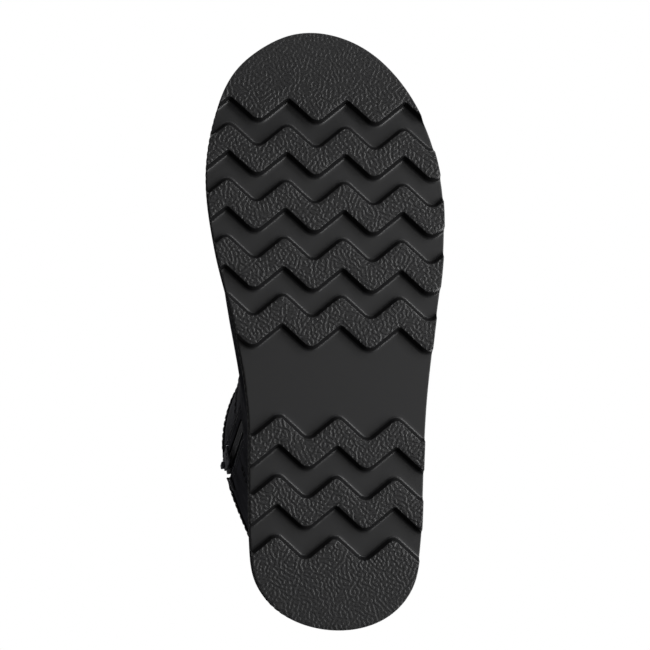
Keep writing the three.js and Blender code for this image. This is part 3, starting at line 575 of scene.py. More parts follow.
WALL_POINTS, WALL_ROWS = 1200, (3.1, 4.6)
MOULDED_STITCH = (3.2, 2.5, 0.55)  # pitch, length and thickness
sole_stitches = bmesh.new()
wall_turns = np.linspace(0, FULL, WALL_POINTS)
wall_line, inside = sole_line(wall_turns, 0), sole_line(wall_turns, 1)
outward = np.column_stack([wall_line - inside, np.zeros(WALL_POINTS)])
for rise in WALL_ROWS:
    points = np.column_stack([wall_line, midsole_bottom(wall_line[:, 1]) + rise])
    stitch_row(sole_stitches, points, outward, *MOULDED_STITCH)
face_outwards(sole_stitches)
piece("sole_wall_stitches", sole_stitches, moulded_foam, slot="sole_foam")

# ---- Shank, cushion, board and footbed ----------------------------------------------------------
# Inside the bottom: a spring steel shank, a soft foam pad under the heel, a cellulose insole
# board that the upper is lasted to, and a footbed of foam under cut fleece.


def coat(material, *names):
    """Gives a material to CAD nodes that keep their own shape."""
    for name in names:
        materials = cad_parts[name].data.materials
        materials.clear()
        materials.append(material)


# Rolled spring steel, blued and oiled.
coat(plastic_like("rolled_spring_steel", "8a8c90", 0.34, 0.8, 0.01, Metallic=1.0), "shank")
# Pressed cellulose board: tan, with a fibre of about a millimetre.
coat(plastic_like("pressed_cellulose_board", "8a7358", 0.9, 1.0, 0.05), "insole_board")

PAD_ROUNDING = 1.8
pad_low, pad_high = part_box("heel_cushion")
pad_size = (pad_high - pad_low) / MM
heel_pad = bmesh.new()
bmesh.ops.create_circle(heel_pad, cap_ends=True, segments=56, radius=1)
bmesh.ops.scale(heel_pad, verts=heel_pad.verts, vec=(pad_size.x / 2, pad_size.y / 2, 1))
pad_top = bmesh.ops.extrude_face_region(heel_pad, geom=heel_pad.faces[:])["geom"]
bmesh.ops.translate(heel_pad, vec=(0, 0, pad_size.z), verts=verts_in(pad_top))
face_outwards(heel_pad)
rims = [e for e in heel_pad.edges if len(e.link_faces) == 2 and e.calc_face_angle() > 1]
bmesh.ops.bevel(heel_pad, geom=rims, offset=PAD_ROUNDING, segments=4, profile=0.5,
                affect="EDGES", material=-1)
centre = ((pad_low + pad_high) / 2 - BACK_OF_HEEL) / MM
pad_foot = (pad_low.z - BACK_OF_HEEL.z) / MM
bmesh.ops.translate(heel_pad, vec=(centre.x, centre.y, pad_foot), verts=heel_pad.verts)
# Open-cell polyurethane: grey, with cells of about 0.7 mm.
cell_foam = plastic_like("open_cell_foam", "4a4b50", 0.95, 0.7, 0.2, 0.5)
pad_piece = piece("heel_cushion_pad", heel_pad, cell_foam, "heel_cushion", slot="sole_foam")

LEATHER, STIFFENER, LINING, PLY_GAP, UPPER_INSET = 1.8, 1.1, 3, 0.8, 4
STIFFENER_TOP = -LEATHER - PLY_GAP
LINING_TOP = STIFFENER_TOP - STIFFENER - PLY_GAP
LINING_FOOT = LINING_TOP - LINING
BOARD, FOOTBED = 2, 6
FOOTBED_INSET = -LINING_FOOT + UPPER_INSET + 4 * GAP
FOOTBED_SIDE = [(2.2, 0, 0), (0.9, 0, 0.25), (0.2, 0, 0.9), (0, 0.5, 0), (0.2, 1, -1),
                (0.9, 1, -0.3), (2.4, 1, 0), (8, 1, 0)]


def footbed_bottom(y):
    return sole_top_at(y) + 2 * GAP + BOARD


footbed = rings_to_solid([(FOOTBED_INSET + inset, *rest) for inset, *rest in FOOTBED_SIDE],
                         (footbed_bottom, lambda y: footbed_bottom(y) + FOOTBED))
# Its fleece is trodden into soft lumps about 2.5 mm across.
for vert in footbed.verts:
    if vert.normal.z > 0.3:
        vert.co.z += 0.35 * noise.noise(vert.co * 0.4) - 0.2

# Cut synthetic fleece on a knitted back: charcoal, soft, its curls about 2.5 mm across, with a
# painted highlight on their tops and painted shade in the hollows. It has no gloss, only the pale
# sheen of its fibre ends.
fleece, tree, surface = new_material(
    "curly_cut_fleece", Roughness=1.0, Sheen_Weight=0.6, Sheen_Roughness=0.5,
    Sheen_Tint=colour("8c8c92"), Specular_IOR_Level=0.1)
place = node(tree, "ShaderNodeTexCoord")
curl = node(tree, "ShaderNodeTexVoronoi", [("Vector", place.outputs["Object"])], Scale=400)
fibre = node(tree, "ShaderNodeTexNoise", [("Vector", place.outputs["Object"])],
             Scale=2200, Detail=3)
both = node(tree, "ShaderNodeMath",
            [(0, curl.outputs["Distance"]), (1, fibre.outputs["Fac"])], operation="ADD")
# Painted highlight and shade: the ramp makes the curls' raised tops lighter and the pushed-in
# hollows between them darker.
tint = node(tree, "ShaderNodeValToRGB", [("Fac", both.outputs[0])])
lit_curl_top, shaded_hollow = tint.color_ramp.elements
lit_curl_top.color, lit_curl_top.position = colour("3a3a40"), 0.3
shaded_hollow.color, shaded_hollow.position = colour("1b1b1f"), 1.1
raised = node(tree, "ShaderNodeBump", [("Height", both.outputs[0])],
              invert=True, Strength=0.8, Distance=0.0012)
tree.links.new(surface.inputs["Base Color"], tint.outputs[0])
tree.links.new(surface.inputs["Normal"], raised.outputs[0])
piece("fleece_footbed", footbed, fleece, "footbed", slot="fleece")

# ---- Upper's last ------------------------------------------------------------------------------
# The shape that the upper was pulled over, as nine stations from the feather edge (0) to the top
# edge (8): (front y, z), (rear y, z), (widest y, z) or None, height, inner x, outer x, and how
# much the station looks like the sole. None lies on the shaft's side line.

STATIONS = [
    ((265.7, 33), (4, 30), (134.8, 25), 0, 0, 0, 1),
    ((266.4, 45), (2.8, 44), (134.8, 39), 0, 0, 0, 1),
    ((261, 59.5), (2.2, 60), (112, 54), 0, 44.3, -39.4, 0.9),
    ((241, 71.5), (3.6, 78), None, 68, None, -38.9, 0.5),
    ((212, 80), (6.6, 96), None, 84, None, -38.8, 0.14),
    ((184.5, 90.5), (9, 115), None, 101, None, -39.2, 0),
    ((160.5, 107), (9.6, 134), None, 122, None, -40.2, 0),
    ((144.5, 137), (7.8, 157.5), None, 151, None, -41.8, 0),
    ((137.5, 185), (4.4, 186), None, 185, None, -43.6, 0),
]
TOP = len(STATIONS) - 1
TOP_HEIGHT, SHAFT_CENTRE, SQUARENESS = 185, 1.8, 0.93
PINCH = 0.2  # how much the flanks draw in beside the heel tendon
WIDEST = fullness(np.array([math.pi / 2, -math.pi / 2]))


# The shaft's widest line on the inner side: its place at the top edge and its slope downwards
SIDE_TOP_X, SIDE_TOP_Y, SIDE_SLOPE_X, SIDE_SLOPE_Y = 47.5, 86, -0.043, 0.17


def side_line(z):
    down = TOP_HEIGHT - z
    return SIDE_TOP_X + SIDE_SLOPE_X * down, SIDE_TOP_Y + SIDE_SLOPE_Y * down


def on_station(k, turn):
    front, rear, widest, height, inner, outer, likeness = STATIONS[k]
    c, s = np.cos(turn), np.sin(turn)
    end_y, end_z = (np.where(c >= 0, front[i], rear[i]) for i in (0, 1))
    if k < 2:
        flat = sole_line(turn, np.full(turn.shape, UPPER_INSET - 0.4 * k))
        top = sole_top_at(flat[:, 1])
        rise = lerp(widest[1], end_z, c * c) - lerp(25, end_z - 13, c * c) if k else GAP
        return np.column_stack([flat, top + rise])
    side_x, side_y = side_line(height)
    widest = widest or (side_y, height)
    middle = lerp(SHAFT_CENTRE, TOE_SWING, likeness)
    reach = np.where(s >= 0, (inner or side_x) - middle, middle - outer)
    reach = reach * np.where(c < 0, 1 - PINCH * (1 - likeness) * np.sin(2 * turn) ** 2, 1)
    sole_like = np.abs(s) * fullness(turn) / np.where(s >= 0, *WIDEST)
    across = np.sign(s) * reach * lerp(np.abs(s) ** SQUARENESS, sole_like, likeness)
    x = middle + TOE_SWING * likeness * c + across
    y = widest[0] + np.abs(end_y - widest[0]) * c
    return np.column_stack([x, y, lerp(widest[1], end_z, c * c)])


def on_last(t, turn):
    t, turn = np.broadcast_arrays(np.asarray(t, float), np.asarray(turn, float))
    loops = [on_station(k, turn) for k in range(TOP + 1)]
    loops = np.stack([2 * loops[0] - loops[1], *loops, 2 * loops[-1] - loops[-2]])
    k = np.clip(np.floor(t).astype(int), 0, TOP - 1)
    rows = np.arange(len(t))
    return spline(*(loops[k + i, rows] for i in range(4)), (t - k)[:, None])


def off_last(t, turn):
    """The way out from the last."""
    t, turn = np.broadcast_arrays(np.asarray(t, float), np.asarray(turn, float))
    around = on_last(t, turn + 0.004) - on_last(t, turn - 0.004)
    upwards = on_last(t + 0.01, turn) - on_last(t - 0.01, turn)
    return unit(np.cross(upwards, around))


ZIP_TOP_Y, ZIP_SLOPE = 72.2, 0.2


def zip_line(z):
    return ZIP_TOP_Y + ZIP_SLOPE * (TOP_HEIGHT - z)


# The zip's angle at each station: its line runs straight, leaning back.
zip_stations = np.linspace(-0.2, TOP + 0.2, 841)
low, high = (np.radians(np.full_like(zip_stations, end)) for end in (60, 150))
for _ in range(30):
    between = (low + high) / 2
    tried = on_last(zip_stations, between)
    ahead = tried[:, 1] > zip_line(tried[:, 2])
    low, high = np.where(ahead, between, low), np.where(ahead, high, between)
zip_turns = (low + high) / 2


def zip_turn(t):
    return np.interp(t, zip_stations, zip_turns)


ANKLE_STATION, ANKLE_REACH, FOLD_WIDTH = 5.1, 0.75, 2.7
WAVE_HEIGHT, FOLD_HEIGHT = 1.1, 0.65


def worn_in(t, turn, points):
    """How far the soft upper stands off its last: broad waves, and folds where the ankle bends.
    It is still at the zip, at the sole and at the top edge."""
    still = smooth(0.8, 1.7, t) * (1 - smooth(7.0, 7.8, t))
    apart = np.abs((turn - zip_turn(t) + math.pi) % FULL - math.pi)
    still = still * smooth(0.4, 0.75, apart)
    waves = np.array([
        noise.noise(Vector(p) / 34) + 0.5 * noise.noise(Vector(p) / 15) for p in points])
    sagging = points[:, 2] + 0.12 * np.abs(points[:, 0]) ** 1.2 + 3 * waves
    folds = np.sin(sagging / FOLD_WIDTH)
    at_ankle = np.exp(-(((t - ANKLE_STATION) / ANKLE_REACH) ** 2))
    at_ankle = at_ankle * smooth(0.2, 0.8, np.cos(turn))
    return still * (WAVE_HEIGHT * waves + FOLD_HEIGHT * folds * at_ankle)


def upper_points(t, turn, height):
    points, out = on_last(t, turn), off_last(t, turn)
    off = np.asarray(height) + worn_in(np.asarray(t, float) + 0 * turn, turn, points)
    points = points + out * off[:, None]
    points[:, 2] = np.maximum(points[:, 2], sole_top_at(points[:, 1]) + GAP)
    return points


def beside(t, turn, distance):
    """The angle that lies a distance, plus to the toe, from a line at another angle."""
    t, turn = np.broadcast_arrays(np.asarray(t, float), np.asarray(turn, float))
    step = -0.01 if distance > 0 else 0.01
    per_radian = np.linalg.norm(on_last(t, turn + step) - on_last(t, turn), axis=1) / 0.01
    return turn - distance / per_radian


EDGE_STEPS = [0, 0.35, 0.9, 1.8]  # grid lines beside an edge, in mm, for its turned shape
PER_STATION = 24  # mm from one station to the next, about
WIDE_ANGLE, MEAN_RADIUS = 1.2, 60  # a panel's part past this angle is measured along its arc
TURNED_EDGE = 2  # mm of a panel that turn in at its edges


def share_out(count, width):
    """Places from 0 to 1 of count cells, closer beside both edges."""
    if count < 9:
        return np.linspace(0, 1, count + 1)
    near = np.array(EDGE_STEPS) / width
    even = np.linspace(near[-1], 1 - near[-1], count - 5)
    return np.concatenate([near[:-1], even, 1 - near[-2::-1]])


def rows_between(low, high, count):
    return lerp(low, high, share_out(count, (high - low) * PER_STATION))


def panel(lines, cells, rows, height=0.0, keep=None, edge=0.75, fleecy=0.0):
    """A cut panel on the last. lines(t) gives the angles of its upright borders, cells the columns
    between them and rows its stations. Its edges turn in by the height edge."""
    rows = np.asarray(rows)
    columns, count = sum(cells), len(rows) - 1
    starts = np.concatenate([[0], np.cumsum(cells)])
    borders = np.array([np.broadcast_to(line, rows.shape) for line in lines(rows)])
    turns = np.zeros((columns + 1, count + 1))
    for part, cell_count in enumerate(cells):
        a, b = borders[part], borders[part + 1]
        width = np.linalg.norm(on_last(rows, b) - on_last(rows, a), axis=1)
        if abs(b - a).max() >= WIDE_ANGLE:
            width = np.full(rows.shape, MEAN_RADIUS * abs(b - a).mean())
        for j in range(count + 1):
            shares = share_out(cell_count, width[j])
            turns[starts[part] : starts[part + 1] + 1, j] = lerp(a[j], b[j], shares)
    mesh = bmesh.new()
    mesh.loops.layers.uv.new("weave")
    i, j = grid(mesh, columns, count)
    t, turn = rows[j], turns[i, j]
    if keep:
        part_of = np.searchsorted(starts, np.arange(columns), side="right") - 1
        dropped = []
        for face in mesh.faces:
            cell, row = (min(a[v.index] for v in face.verts) for a in (i, j))
            if not keep(part_of[cell], (rows[row] + rows[row + 1]) / 2):
                dropped.append(face)
        bmesh.ops.delete(mesh, geom=dropped, context="FACES_ONLY")
    points = upper_points(t, turn, height)
    border = [k for k, v in enumerate(mesh.verts) if v.is_boundary]
    edges = KDTree(len(border))
    for k in border:
        edges.insert(points[k], k)
    edges.balance()
    away = np.array([edges.find(p)[2] for p in points])
    turned = edge * np.clip(1 - away / TURNED_EDGE, 0, 1) ** 2
    curls = np.array([fleecy * noise.noise(Vector(p) * 0.5) for p in points]) if fleecy else 0
    points = upper_points(t, turn, height - turned + curls)
    put(mesh, points)
    loose = [v for v in mesh.verts if not v.link_faces]
    out = off_last(t, turn)
    mesh.normal_update()
    if sum(v.normal.dot(Vector(out[v.index])) for v in mesh.verts) < 0:
        bmesh.ops.reverse_faces(mesh, faces=mesh.faces)
    bmesh.ops.delete(mesh, geom=loose, context="VERTS")
    return mesh


def thicken(made, thickness):
    wall = made.modifiers.new("thickness", "SOLIDIFY")
    wall.thickness, wall.offset, wall.use_even_offset = thickness * MM, -1, False
    return made


# ---- Stiffeners --------------------------------------------------------------------------------
# Toe puff and heel stiffener: thermoplastic fibre board, heated and pressed to the last between
# the suede and the lining. Neither shows on a finished boot.

fibre_board = plastic_like("thermoformed_fibre_board", "2b2a28", 0.9, 0.8, 0.08)
coat(fibre_board, "toe_puff", "heel_stiffener")

# ---- Suede panels ------------------------------------------------------------------------------
# The vamp, quarters, counter and shaft are cow suede, cut flat, sewn edge to edge with the seams
# pressed open and top-stitched in two rows, then pulled over the last.

VAMP_TOP, COUNTER_TOP, SEAM = 5.6, 3.2, 0.004
BUTT = math.radians(0.05)  # half of the fine line that stays open between two panels
SLOT_HALF, LINING_SLOT_HALF = 4.4, 9
LATERAL_SEAM = math.radians(-100)


def vamp_edge(t):
    return np.radians(lerp(78, 60, np.asarray(t, float) / VAMP_TOP))


def heel_edge(t):
    return np.radians(lerp(128, 122, np.minimum(t, VAMP_TOP) / VAMP_TOP))


def slot_front(t):
    return beside(t, zip_turn(t), SLOT_HALF)


def slot_rear(t):
    return beside(t, zip_turn(t), -SLOT_HALF)


def station_at(height):
    heights = np.linspace(0, TOP, 1601)
    return float(np.interp(height, on_last(heights, zip_turn(heights))[:, 2], heights))


def on_zip(height):
    t = station_at(height)
    return Vector(on_last([t], [zip_turn(t)])[0])


ZIP_FOOT, ZIP_HEAD_DROP, ZIP_MIDDLE, STOP_LENGTH = 88, 5, 6.4, 2.6
zip_foot, zip_head = on_zip(ZIP_FOOT), on_zip(TOP_HEIGHT - ZIP_HEAD_DROP)
zip_up = (zip_head - zip_foot).normalized()
zip_out = Vector(off_last([ZIP_MIDDLE], [zip_turn(ZIP_MIDDLE)])[0])
zip_out = (zip_out - zip_up * zip_out.dot(zip_up)).normalized()
zip_axes = Matrix((zip_up.cross(zip_out), zip_up, zip_out)).transposed().to_4x4()
ZIP_FRAME = Matrix.Translation(zip_foot) @ zip_axes
slot_station = station_at(ZIP_FOOT - (STOP_LENGTH + 5 * GAP) * zip_up.z)

# Split cow suede, brushed: near black, with a short nap that lies in patches, so that it is a
# little lighter where it is stroked the other way. It has no gloss.
suede, tree, surface = new_material(
    "brushed_black_suede", Roughness=0.95, Sheen_Weight=0.03, Sheen_Roughness=0.4,
    Sheen_Tint=colour("77777d"), Specular_IOR_Level=0.03)
place = node(tree, "ShaderNodeTexCoord")
patch = node(tree, "ShaderNodeTexNoise", [("Vector", place.outputs["Object"])],
             Scale=48, Detail=3, Roughness=0.6)
nap = node(tree, "ShaderNodeTexNoise", [("Vector", place.outputs["Object"])],
           Scale=1600, Detail=3)
shade = node(tree, "ShaderNodeValToRGB", [("Fac", patch.outputs["Fac"])])
with_nap, against_nap = shade.color_ramp.elements
with_nap.color, with_nap.position = colour("101012"), 0.35
against_nap.color, against_nap.position = colour("1d1d20"), 0.65
hairs = node(tree, "ShaderNodeBump", [("Height", nap.outputs["Fac"])],
             Strength=0.5, Distance=0.0003)
tree.links.new(surface.inputs["Base Color"], shade.outputs[0])
tree.links.new(surface.inputs["Normal"], hairs.outputs[0])

SUEDE_THICKNESS = 1.3
lower_rows = rows_between(0, VAMP_TOP - SEAM, 44)
upper_rows = rows_between(VAMP_TOP + SEAM, TOP, 26)
above_slot = rows_between(slot_station, VAMP_TOP - SEAM, 16)
medial_rows = np.concatenate([rows_between(0, slot_station, 30), above_slot[1:]])
back_rows = np.concatenate([rows_between(COUNTER_TOP + SEAM, VAMP_TOP + SEAM, 20), upper_rows[1:]])
panels = {
    "vamp": panel(lambda t: [-vamp_edge(t) + BUTT, vamp_edge(t) - BUTT], [64], lower_rows),
    "quarter_lateral": panel(
        lambda t: [-heel_edge(t) + BUTT, -vamp_edge(t) - BUTT], [26], lower_rows),
    "quarter_medial": panel(
        lambda t: [vamp_edge(t) + BUTT, slot_front(t), slot_rear(t), heel_edge(t) - BUTT],
        [12, 4, 14], medial_rows, keep=lambda part, t: part != 1 or t < slot_station),
    "heel_counter": panel(lambda t: [heel_edge(t) + BUTT, FULL - heel_edge(t) - BUTT], [44],
                          rows_between(0, COUNTER_TOP - SEAM, 26)),
    "shaft_front": panel(lambda t: [LATERAL_SEAM + BUTT, slot_front(t)], [54], upper_rows),
    "shaft_back": panel(
        lambda t: [slot_rear(t), heel_edge(t) + BUTT, FULL - heel_edge(t) - BUTT,
                   FULL + LATERAL_SEAM - BUTT],
        [10, 40, 9], back_rows, keep=lambda part, t: part == 1 or t > VAMP_TOP + SEAM),
}
for name, mesh in panels.items():
    thicken(piece(name + "_suede", mesh, suede, name, slot="suede"), SUEDE_THICKNESS)

STAY_HALF, STAY_THICKNESS, STAY_TOP = 8, 1.1, GAP + 1.3
stay_rows = rows_between(COUNTER_TOP + 0.08, TOP - 0.12, 34)
stay = panel(lambda t: [beside(t, math.pi, STAY_HALF), beside(t, math.pi, -STAY_HALF)], [10],
             stay_rows, STAY_TOP, edge=0.5)
stay_piece = piece("back_stay_suede", stay, suede, "back_stay", slot="suede")
thicken(stay_piece, STAY_THICKNESS)

# Bonded polyester thread: black, twisted, with a slight gloss.
thread = plastic_like("bonded_black_thread", "18181a", 0.5, 0.3, 0.05, 0.5)
SEAM_STITCH = (3.1, 2.3, 0.5)  # pitch, length and thickness


def along_last(mesh, t, turn, height=0.1):
    t, turn = np.broadcast_arrays(np.asarray(t, float), np.asarray(turn, float))
    stitch_row(mesh, upper_points(t, turn, height), off_last(t, turn), *SEAM_STITCH)


def angle_at(line, t):
    """An upright line's angle at one station."""
    return float(line(np.array([t]))[0])


seams = bmesh.new()
SHORT = 0.12  # where a row of stitches stops before a seam
SEAM_ROWS, REAR_ROW_END, STAY_ROW = (2.6, 4.8), math.radians(119), STAY_HALF - 1.8
low_t = np.linspace(0.72, VAMP_TOP - SHORT, 160)
heel_t = low_t[low_t < COUNTER_TOP - SHORT]
up_t = np.linspace(VAMP_TOP + SHORT, TOP - SHORT, 90)
slot_t = np.linspace(slot_station - 0.02, TOP - SHORT, 120)
front_turns = np.linspace(LATERAL_SEAM + SHORT, angle_at(slot_front, VAMP_TOP) - 0.1, 200)
rear_turns = np.linspace(angle_at(slot_rear, VAMP_TOP) + 0.1, REAR_ROW_END, 30)
counter_edge = angle_at(heel_edge, COUNTER_TOP)
counter_turns = np.linspace(counter_edge + 0.1, FULL - counter_edge - 0.1, 160)
for distance in SEAM_ROWS:
    for sign in (1, -1):
        for line in (vamp_edge(low_t), -vamp_edge(low_t)):
            along_last(seams, low_t, beside(low_t, line, sign * distance))
        for line in (heel_edge(heel_t), FULL - heel_edge(heel_t)):
            along_last(seams, heel_t, beside(heel_t, line, sign * distance))
        along_last(seams, up_t, beside(up_t, LATERAL_SEAM, sign * distance))
    for sign in (1, -1):
        rise = sign * distance / PER_STATION
        along_last(seams, VAMP_TOP + rise, front_turns)
        along_last(seams, VAMP_TOP + rise, rear_turns)
        along_last(seams, COUNTER_TOP + rise, counter_turns)
    for sign in (1, -1):
        along_last(seams, slot_t, beside(slot_t, zip_turn(slot_t), sign * (SLOT_HALF + distance)))
stay_t = np.linspace(COUNTER_TOP + 0.15, TOP - 0.2, 160)
for distance in (STAY_ROW, -STAY_ROW):
    along_last(seams, stay_t, beside(stay_t, math.pi, distance), STAY_TOP + 0.05)
face_outwards(seams)
piece("upper_seam_stitches", seams, thread, slot="webbing")

# ---- Foxing band -------------------------------------------------------------------------------
# A calendered rubber strip, cemented and stitched round the foot of the upper.

BAND_GAP, BAND_COLUMNS = 0.5, 360
BAND_FACE = BAND_GAP + 2.3
# (station, height off the last) round the strip, with a groove near its foot
BAND_PROFILE = np.array([
    (0, BAND_FACE - 0.5), (0.02, BAND_FACE), (0.13, BAND_FACE), (0.145, BAND_FACE - 0.3),
    (0.16, BAND_FACE), (0.5, BAND_FACE), (0.57, BAND_FACE - 0.12), (0.605, BAND_FACE - 0.6),
    (0.62, BAND_FACE - 1.3), (0.61, BAND_GAP + 0.3), (0.58, BAND_GAP), (0.3, BAND_GAP),
    (0, BAND_GAP), (0, BAND_FACE - 0.5)])
band = bmesh.new()
i, j = grid(band, BAND_COLUMNS, len(BAND_PROFILE) - 1)
band_t, band_height = BAND_PROFILE[j].T
put(band, upper_points(band_t, i % BAND_COLUMNS * FULL / BAND_COLUMNS, band_height))
bmesh.ops.remove_doubles(band, verts=band.verts, dist=0.005)
face_outwards(band)
# Calendered rubber: black, smoother than the tread.
band_rubber = plastic_like("calendered_black_rubber", "161617", 0.5, 0.7, 0.04,
                           Specular_IOR_Level=0.25)
piece("foxing_strip", band, band_rubber, "foxing_band", slot="tread_rubber")
band_stitches = bmesh.new()
along_last(band_stitches, 0.4, np.linspace(0, FULL, 1000), BAND_FACE + 0.05)
face_outwards(band_stitches)
piece("foxing_stitches", band_stitches, thread, slot="webbing")

# ---- Lining --------------------------------------------------------------------------------------
# Curly fleece, cut like the upper and sewn in at the collar; it leaves a slot behind the zip.


def lining_lines(t):
    front, rear = (beside(t, zip_turn(t), side * LINING_SLOT_HALF) for side in (1, -1))
    return [front, rear, front + FULL]


lining_slot = slot_station - 0.2
lining_rows = np.concatenate([
    rows_between(0.24, lining_slot, 34), rows_between(lining_slot, TOP - 0.02, 30)[1:]])
lining = panel(lining_lines, [5, 150], lining_rows, LINING_TOP - 0.3,
               keep=lambda part, t: part != 0 or t < lining_slot, fleecy=0.35)
lining_area = sum(f.calc_area() for f in lining.faces) * MM * MM
lining_piece = piece("fleece_lining", lining, fleece, "lining", slot="fleece")
thicken(lining_piece, LINING - 0.6)

# ---- Collar ------------------------------------------------------------------------------------
# A strip of smooth black leather folded over the top edge and stitched through, a little
# puckered where the needle pulls it down.

COLLAR_OUT, COLLAR_IN, COLLAR_RISE = 0.9, LINING_FOOT - 0.8, 4.2
SKIRT = 1.4  # how far the fold's edges hang below the top edge
COLLAR_COLUMNS, PUCKERS, PUCKER_DEPTH = 240, 92, 0.16


def at_top_edge(turn, rise, height):
    """Points beside the top edge: rise above it, or below down the surface, and off it."""
    turn, rise, height = np.broadcast_arrays(
        *(np.asarray(a, float) for a in (turn, rise, height)))
    below = on_last(TOP - 0.05 + 0 * turn, turn)
    per_station = np.linalg.norm(on_last(TOP + 0 * turn, turn) - below, axis=1) / 0.05
    points = upper_points(TOP + np.minimum(rise, 0) / per_station, turn, height)
    points[:, 2] += np.maximum(rise, 0)
    return points


middle, half = (COLLAR_OUT + COLLAR_IN) / 2, (COLLAR_OUT - COLLAR_IN) / 2
# (above the top edge, off the last): the inner edge, the underside, the outer edge, the fold
collar_path = [
    (-SKIRT, COLLAR_IN + 0.15), (-SKIRT - 0.15, COLLAR_IN + 0.4), (-SKIRT, COLLAR_IN + 0.65),
    (GAP, COLLAR_IN + 0.75), (GAP, middle), (GAP, COLLAR_OUT - 0.75),
    (-SKIRT, COLLAR_OUT - 0.65), (-SKIRT - 0.15, COLLAR_OUT - 0.4), (-SKIRT, COLLAR_OUT - 0.15)]
collar_path += [(GAP + 0.8 + COLLAR_RISE * math.sin(a), middle + half * math.cos(a))
                for a in np.linspace(0, math.pi, 13)]
collar_path = np.array([*collar_path, collar_path[0]])
collar_from, collar_to = angle_at(slot_rear, TOP), angle_at(slot_front, TOP) + FULL
collar = bmesh.new()
i, j = grid(collar, COLLAR_COLUMNS, len(collar_path) - 1)
collar_turn = lerp(collar_from, collar_to, i / COLLAR_COLUMNS)
pucker = PUCKER_DEPTH * np.sin(collar_turn * PUCKERS) * ((j >= 9) & (j <= 11))
put(collar, at_top_edge(collar_turn, collar_path[j, 0], collar_path[j, 1] + pucker))
bmesh.ops.remove_doubles(collar, verts=collar.verts, dist=0.005)
bmesh.ops.holes_fill(collar, edges=open_edges(collar), sides=0)
face_outwards(collar)
# Drum-dyed full-grain leather: black, with a soft gloss and creases about 1.2 mm apart.
collar_leather = plastic_like("smooth_black_leather", "17171a", 0.46, 1.2, 0.12, 0.45)
piece("collar_leather", collar, collar_leather, "collar_binding", slot="smooth_leather")
collar_stitches = bmesh.new()
stitch_turns = np.linspace(collar_from + 0.05, collar_to - 0.05, 900)
stitch_row(collar_stitches, at_top_edge(stitch_turns, 2.3, COLLAR_OUT + 0.02),
           off_last(TOP, stitch_turns), *SEAM_STITCH)
face_outwards(collar_stitches)
piece("collar_stitches", collar_stitches, thread, slot="webbing")

# ---- Pull tab ----------------------------------------------------------------------------------
# A loop of ribbed polyester webbing, 18 mm wide, sewn up the back stay, over the collar and down
# inside the lining.

TAB_HALF, TAB_THICKNESS, TAB_LEAF, TAB_RISE = 9, 1.4, 20, 10
outer_leaf, inner_leaf = STAY_TOP + GAP + TAB_THICKNESS, COLLAR_IN - GAP
leaf_middle, leaf_radius = (outer_leaf + inner_leaf) / 2, (outer_leaf - inner_leaf) / 2
tab_path = [(r, outer_leaf) for r in np.linspace(-TAB_LEAF, TAB_RISE, 22)]
tab_path += [(TAB_RISE + leaf_radius * math.sin(a), leaf_middle + leaf_radius * math.cos(a))
             for a in np.linspace(0, math.pi, 19)[1:]]
tab_path += [(r, inner_leaf) for r in np.linspace(TAB_RISE, -0.7 * TAB_LEAF, 18)[1:]]
tab_path = np.array(tab_path)
TAB_COLUMNS = 14
tab = bmesh.new()
tab.loops.layers.uv.new("weave")
i, j = grid(tab, TAB_COLUMNS, len(tab_path) - 1)
width = lerp(-TAB_HALF, TAB_HALF, i / TAB_COLUMNS)
tab_turns = np.array([angle_at(lambda t: beside(t, math.pi, w), TOP) for w in width])
edge_dip = 0.25 * (np.abs(width) / TAB_HALF) ** 6
put(tab, at_top_edge(tab_turns, tab_path[j, 0], tab_path[j, 1] - edge_dip))
tab.normal_update()
# The outer leaf has to face away from the heel.
back_way = Vector(off_last([TOP], [math.pi])[0])
middles = [(f, f.calc_center_median()) for f in tab.faces]
low_faces = [f for f, at in middles if at.z < TOP_HEIGHT - 4 and at.y < 4]
if sum(f.normal.dot(back_way) for f in low_faces) < 0:
    bmesh.ops.reverse_faces(tab, faces=tab.faces)


def woven(name, base, light, width_mm, length_mm, across=1.0, along=1.0, depth=0.25):
    """A tape or cloth whose weave follows its own UV map. across and along are the thread
    spacings in millimetres. Its raised threads are painted in the light colour and its low ones
    in base: a painted highlight and shade."""
    made, tree, surface = new_material(
        name, Roughness=0.9, Sheen_Weight=0.06, Specular_IOR_Level=0.15)
    own = node(tree, "ShaderNodeUVMap", uv_map="weave")
    sized = node(tree, "ShaderNodeMapping", [("Vector", own.outputs[0])],
                 Scale=(width_mm / across, length_mm / along, 1))
    apart = node(tree, "ShaderNodeSeparateXYZ", [("Vector", sized.outputs[0])])
    waves = []
    for axis in (0, 1):
        turned = node(tree, "ShaderNodeMath", [(0, apart.outputs[axis])], operation="MULTIPLY")
        turned.inputs[1].default_value = FULL
        waves.append(node(tree, "ShaderNodeMath", [(0, turned.outputs[0])], operation="SINE"))
    height = node(tree, "ShaderNodeMath",
                  [(0, waves[0].outputs[0]), (1, waves[1].outputs[0])], operation="MAXIMUM")
    # Painted highlight and shade: the colour follows the weave's height, lighter on the raised
    # threads.
    shade = node(tree, "ShaderNodeValToRGB", [("Fac", height.outputs[0])])
    for element, code in zip(shade.color_ramp.elements, (base, light)):
        element.color = colour(code)
    bump = node(tree, "ShaderNodeBump", [("Height", height.outputs[0])],
                Strength=0.6, Distance=depth * MM)
    tree.links.new(surface.inputs["Base Color"], shade.outputs[0])
    tree.links.new(surface.inputs["Normal"], bump.outputs[0])
    return made


tab_length = MM * sum(np.linalg.norm(np.diff(tab_path, axis=0), axis=1))
